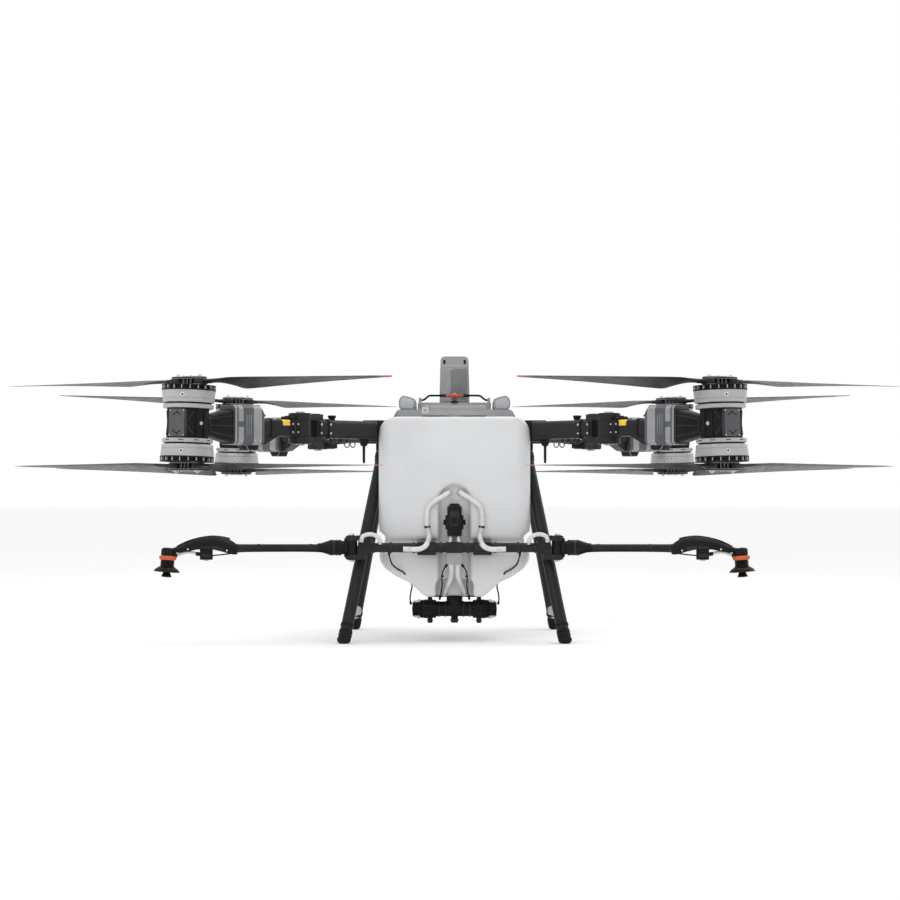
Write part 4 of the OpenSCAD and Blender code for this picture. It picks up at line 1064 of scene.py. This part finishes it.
def lance(name, side):
    """Knuckle, banded sleeve, cone, boom and the raised housing that carries the spray head."""
    piece = Piece(corner(side, 1) @ move(0, BAR_Y, BAR_Z))
    along = ALONG["x"]
    piece.lathe([(6.1, -22), (18, -22), (20, -20.5), (20, 20.5), (18, 22), (6.1, 22)], 0,
                move(LANCE_PIN, 0, 0), 40, ring=True)
    piece.disc(18, 350, 381, 0, along, 32, 1)
    # Flared flange, its flats to the sides to clear the leg clamp when folded, and angular collar
    piece.disc(27, 351, 363, 0, along @ turn(30, "Z"), 6, 1, 33)
    collar = [(25, -11), (25, 11), (15, 22), (-15, 22), (-25, 11), (-25, -11), (-15, -22), (15, -22)]
    piece.prism(collar, 362, 379, 0, "x", None, 2.4)
    piece.lathe([(0, 372), (25, 373), (26, 374.5), (26, 380), (24.8, 381), (24.8, 385), (26, 386), (26, 389),
                 (24.8, 390), (24.8, 402), (26, 403), (26, 408), (25, 410), (20, 424), (14.6, 441),
                 (14.6, 449), (13, 451), (0, 451)], 0, along, 40)
    piece.lathe([(24.2, 392), (25.6, 392.6), (25.6, 399.4), (24.2, 400)], 1, along, 40, ring=True)
    piece.disc(11.5, 440, 732, 3, along, 36, 1)
    for x in (470, 640, 712):
        piece.lathe([(11, x), (12.6, x + 0.8), (12.6, x + 8), (11, x + 9)], 1, along, 32, ring=True)
    # Raised housing: faceted arch with a ridge and side screws
    spine = [(716, -6, 17, 16), (728, -2, 20, 21), (744, 5, 21, 24), (764, 11, 21, 24), (790, 15, 20.5, 22),
             (818, 15.5, 20, 20), (848, 11.5, 19, 18), (876, 3.5, 18, 16), (902, -4, 17, 12.5),
             (920, -7.5, 15, 9), (931, -8.5, 13, 6.5)]
    sections = []
    for x, z, half_w, half_h in spine:
        sections.append([(x, y * half_w, z + v * half_h) for y, v in (
            (-1, -0.55), (-0.7, -1), (0.7, -1), (1, -0.55), (1, 0.35), (0.62, 0.84), (0.22, 1), (-0.22, 1),
            (-0.62, 0.84), (-1, 0.35))])
    piece.loft(sections, 0)
    ridge = smooth_path([(740, 0, 29), (766, 0, 34.6), (800, 0, 37), (840, 0, 31.5), (880, 0, 20),
                         (915, 0, 3)], 5)
    piece.tube(ridge, 3.2, 1, 10)
    for y in (-1, 1):
        for x, z in ((748, -9), (800, 2), (876, -5)):
            piece.rod((x, y * 17, z), (x, y * 21.6, z), 3, 5, 12, 0.6)
        panel = [(756, -4), (764, 4), (800, 8), (838, 4), (838, -4), (800, -3), (770, -8)]
        piece.prism(panel, 19.5, 21.6, 1, "y", Matrix.Diagonal((1, y, 1, 1)), 0.8)
    # Fitting block under the arch, and the short hose to the spray head
    piece.box((797, -13, -40), (838, 13, 2), 0, None, 3.0)
    piece.box((801, -15, -33), (834, 15, -18), 1, None, 1.8)
    piece.rod((818, 0, -38), (818, 0, -44), 8, 2, 24, 1.2)
    piece.rod((836, 0, -22), (852, 0, -20), 6.5, 0, 20, 1.0)
    hose = smooth_path([(846, 0, -20.5), (862, 0, -17), (884, 0, -16), (904, 0, -21), (919, 0, -26)], 6)
    piece.tube(hose, 5, 5, 14)
    # Wire clipped along the boom
    wire = smooth_path([(412, -18, -18), (452, -11, -12.5), (560, -10, -11.5), (700, -11, -13),
                        (742, -13, -20), (798, -12, -26)], 8)
    piece.tube(wire, 2.2, 0, 8)
    return piece.done(name + "_fine", name, SPRAY_MATS, [name])


def head_place(side):
    return corner(side, 1) @ move(NOZZLE_X, BAR_Y, BAR_Z) @ turn(-4.5, "Y")


def spray_head(name, side):
    """Motor cap, orange ring, ribbed body and flared skirt."""
    piece = Piece(head_place(side))
    piece.lathe([(0, -1), (14, -0.4), (20, -3), (22, -6), (22, -27), (0, -27)], 0, None, 48)
    for k in range(12):
        piece.box((20.8, -1.6, -24), (23.2, 1.6, -6), 1, turn(30 * k, "Z"), 0.5)
    piece.lathe([(0, -26), (26, -26.6), (27.5, -28.4), (27.5, -38), (26, -40), (0, -40)], 6, None, 48)
    for k in range(20):
        piece.box((26.4, -1.3, -38), (28.2, 1.3, -29.6), 6, turn(18 * k, "Z"), 0.4)
    piece.lathe([(5.2, -39), (22, -39), (23.5, -41), (21.5, -44), (23.5, -47), (21.5, -50), (23.5, -53),
                 (21.5, -56), (23.5, -59), (22, -64), (30, -66.5), (37, -71), (43, -78.5), (43, -80),
                 (40.5, -80), (33, -73), (24, -71.5), (5.2, -71.5)], 0, None, 56, ring=True)
    piece.lathe([(29.5, -66.6), (32.5, -68), (32, -69.4), (29, -68)], 6, None, 56, ring=True)
    for k in range(10):
        ray = turn(36 * k, "Z")
        piece.add([(24, -1.2, -62), (24, 1.2, -62), (24, 1.2, -67), (24, -1.2, -67), (39, -1.2, -74),
                   (39, 1.2, -74)],
                  [(0, 1, 2, 3), (0, 4, 5, 1), (3, 2, 5, 4), (0, 3, 4), (1, 5, 2)], 1, ray)
    # Inlet elbow on the inner side, wire boss and cap screws
    piece.box((-27, -9, -17), (-12, 9, -3), 0, None, 2.4)
    piece.rod((-16, 0, -22), (-31, 0, -25), 7, 1, 20, 1.2)
    for k in range(4):
        piece.disc(2.4, -4, 0.2, 2, turn(90 * k + 45, "Z") @ move(13, 0, 0), 6, 0.4)
    return piece.done(name + "_fine", name.replace("nozzle", "lance"), SPRAY_MATS, [name])


def spinner(name, side):
    """Toothed atomiser disc on its shaft."""
    piece = Piece(head_place(side))
    piece.lathe([(0, -97), (15, -97), (16.5, -95.6), (16.5, -92.6), (15, -91), (11.5, -82), (10, -81),
                 (0, -81)], 0,
                None, 48)
    piece.disc(5, -82, -52, 2, None, 24, 0.8)
    for k in range(24):
        piece.box((14, -0.7, -95.8), (16.9, 0.7, -92.4), 1, turn(15 * k, "Z"), 0.2)
    for z in (-89, -86.5):
        piece.lathe([(12, z - 0.6), (14.6, z), (12, z + 0.6)], 1, None, 40, ring=True)
    piece.disc(4, -98.4, -96.6, 2, None, 6, 0.6)
    return piece.done(name + "_fine", name, SPRAY_MATS, [name])


for label, side in (("left", -1), ("right", 1)):
    lance(f"lance_{label}", side)
    spray_head(f"nozzle_{label}", side)
    spinner(f"disc_{label}", side)


# ------------------------------------------------------------------ pumps, hoses, cables and antennas

piece = Piece(move(*PUMP_PLACE))
piece.disc(25, -66, 66, 0, ALONG["x"], 48, 1.5)
for x in (-52, -30, 30, 52):
    piece.lathe([(24.4, x - 2.5), (27, x - 2), (27, x + 2), (24.4, x + 2.5)], 1, ALONG["x"], 48, ring=True)
piece.disc(27, -8, 40, 0, None, 44, 2)
piece.disc(19, 38, 43, 1, None, 32, 1.4)
piece.disc(12, -46, -14, 0, None, 32, 1.2)
piece.disc(15, -40, -34, 1, None, 6, 1.2)
for s in (-1, 1):
    side = corner(s, 1)
    piece.lathe([(0, 63), (29.5, 63), (31, 64.5), (31, 69), (29, 70), (29, 78), (31, 79), (31, 88), (29, 89),
                 (29, 104), (31, 105), (31, 110), (29, 113), (0, 113)], 0, side @ ALONG["x"], 48)
    for k in range(8):
        ray = side @ ALONG["x"] @ turn(45 * k + 22.5, "Z")
        piece.disc(3.4, 60.5, 116, 1, ray @ move(26.5, 0, 0), 10, 0.8)
        piece.box((24, -2.2, 71), (33, 2.2, 103), 1, ray, 0.8)
    for k in range(6):
        r = 34.5 - 1.5 * k
        piece.disc(r, 115 + 4.6 * k, 117.4 + 4.6 * k, 1 if k % 2 else 0, side @ ALONG["x"], 48, 0.8)
    piece.disc(23, 110, 141, 0, side @ ALONG["x"], 40, 2)
    piece.disc(9, 140, 143, 2, side @ ALONG["x"], 6, 1)
    piece.disc(8, -47, -20, 0, side @ move(82, 0, 0), 28, 1)
    piece.disc(10.5, -42, -36, 1, side @ move(82, 0, 0), 6, 1)
    piece.box((75, -10, -2), (89, 10, 44), 0, side, 1.6)
    for z in (8, 20, 32):
        piece.box((73.8, -7, z), (90.2, 7, z + 3.4), 1, side, 0.8)
piece.box((-89, -10, 40), (89, 10, 44), 1, None, 1.0)
piece.done("pump_unit_fine", "root", SPRAY_MATS, ["pump_unit"])

HOSE_Y = TANK_REAR - 9
UPPER_HOSE = [(14, TANK_REAR + 14, 496), (30, TANK_REAR - 6, 486), (62, HOSE_Y, 466), (84, HOSE_Y, 446),
              (91, HOSE_Y, 420), (90, HOSE_Y, 380), (84, HOSE_Y - 4, 348), (92, BAR_Y - 25, 322),
              (112, BAR_Y - 27, 309), (140, BAR_Y - 27, 307), (168, BAR_Y - 24, 308)]
LOWER_HOSE = [(11, BAR_Y + 20, 256), (10, BAR_Y + 30, 236), (12, -286, 214), (20, -262, 192), (28, -232, 172),
              (34, -214, 152)]
ARCH_HOSE = [(244, BAR_Y - 8, 326), (248, BAR_Y - 14, 342), (264, BAR_Y - 18, 354), (284, BAR_Y - 20, 356),
             (302, BAR_Y - 22, 348), (306, BAR_Y - 24, 330)]
OUTER_CABLE = [(216, BAR_Y, 296), (214, -312, 278), (206, -300, 256), (188, -296, 240), (168, -290, 228),
               (154, -262, 204), (142, -240, 184), (146, -214, 160), (149, -200, 138), (146, -196, 118)]
INNER_CABLE = [(24, -300, 256), (38, -292, 234), (42, -284, 210), (41, -262, 188), (44, -232, 164),
               (50, -212, 136)]


def clamp(piece, path, place, r, mat, width=6):
    """Band round a hose, at a share of its length."""
    i = min(len(path) - 2, int(place * (len(path) - 1)))
    at = aim(path[i], path[i + 1])
    piece.lathe([(r - 1.5, -width / 2), (r + 1.4, -width / 2 + 0.8), (r + 1.4, width / 2 - 0.8),
                 (r - 1.5, width / 2)],
                mat, at, 24, ring=True)
    piece.box((r, -2.5, -2), (r + 4.5, 2.5, 2), mat, at, 0.6)


hoses = Piece()
cables = Piece()
for s in (-1, 1):
    hoses.place = cables.place = corner(s, 1)
    for route, r in ((UPPER_HOSE, 8.5), (LOWER_HOSE, 8.5), (ARCH_HOSE, 7)):
        path = smooth_path(route, 8)
        hoses.tube(path, r, 0, 20)
        for share in (0.04, 0.93):
            clamp(hoses, path, share, r, 1)
    clamp(hoses, smooth_path(UPPER_HOSE, 8), 0.5, 8.5, 2, 8)
    for route, r in ((OUTER_CABLE, 2.5), (INNER_CABLE, 2.2)):
        path = smooth_path(route, 8)
        cables.tube(path, r, 0, 10)
        cables.tube(path[:5], r + 1.6, 0, 10)
        cables.tube(path[-5:], r + 1.8, 0, 10)
        clamp(cables, path, 0.35, r, 0, 4)
hoses.done("liquid_hoses_fine", "root", [HOSE, STEEL, BLACK], ["liquid_hoses"])
cables.done("cables_fine", "root", [RUBBER], ["cables"])

piece = Piece()
for s in (-1, 1):
    piece.place = corner(s, -1) @ move(HINGE_XY, HINGE_XY, ARM_Z) @ turn(50, "Z") @ move(-306, 0, -30)
    piece.lathe([(0, 0.5), (20, 0.5), (20, -2), (18, -5), (13, -14), (11, -20), (8, -22), (0, -22)], 0, None,
                36)
    piece.lathe([(0, -19), (6, -19), (6, -23), (4.5, -25), (4.5, -62), (4.1, -76), (2.5, -79), (0, -79)], 0,
                None, 24)
    for z in (-26, -29, -32):
        piece.lathe([(4, z - 1), (5.3, z), (4, z + 1)], 1, None, 24, ring=True)
    for k in range(2):
        piece.disc(2.4, -4, 0, 2, turn(180 * k, "Z") @ move(15.5, 0, -2.4), 6, 0.4)
piece.done("antennas_fine", "root", [BLACK, BLACK_EDGE, STEEL], ["antennas"])


# ------------------------------------------------------------------ legs and feet

legs = Piece()
feet = Piece()
for corner_name, (s, end) in CORNERS.items():
    legs.place = feet.place = corner(s, end)
    legs.rod(leg_at(30), leg_at(640), 20, 0, 48, 1)
    for z, grow in ((54, 2.2), (300, 1.6), (596, 2.6)):
        legs.rod(leg_at(z), leg_at(z + 9), 20 + grow, 1, 48, 1.2)
    # Two-part block under the rail, with a split line and bolts
    legs.box((206, 96, 634), (264, 166, 661.5), 1, None, 3.0)
    legs.box((204.6, 128, 632.6), (265.4, 133, 658), 0, None, 1.0)
    for x in (213, 257):
        for y in (106, 156):
            legs.rod((x, y, 635), (x, y, 629.5), 4.4, 2, 6, 0.8)
    legs.rod(leg_at(606), leg_at(626), 24.5, 1, 48, 2.4)
    # Rubber cap: sleeve with bands, domed end and a flat tread
    feet.rod(leg_at(15), leg_at(44), 21.5, 0, 48, 2)
    for z in (24, 34):
        feet.rod(leg_at(z), leg_at(z + 4), 22.6, 1, 48, 1)
    sole = [(0, 0), (12, 0), (17, 2), (21, 6), (23, 12), (23, 16), (21.5, 19), (17, 22), (0, 22)]
    feet.lathe(sole, 0, move(leg_at(9).x, leg_at(9).y, 0), 48)
    if end > 0:
        # Light oval marker low on each front leg
        start, stop = leg_at(30), leg_at(96)
        shift = Vector((0, -15, 0))
        ovals = []
        for i in range(9):
            t = i / 8
            swell = math.sin(math.pi * min(0.97, max(0.03, t)))
            ovals.append([(Vector(start).lerp(stop, t) + shift
                           + Vector((16 * swell ** 0.5 * math.cos(a), 10 * swell ** 0.5 * math.sin(a), 0)))
                          for a in [2 * math.pi * k / 20 for k in range(20)]])
        legs.loft(ovals, 3)
legs.done("landing_legs_fine", "root", [CARBON, BLACK, STEEL, SHELL_LIGHT], ["landing_legs"])
feet.done("foot_caps_fine", "root", [RUBBER, BLACK], ["foot_caps"])
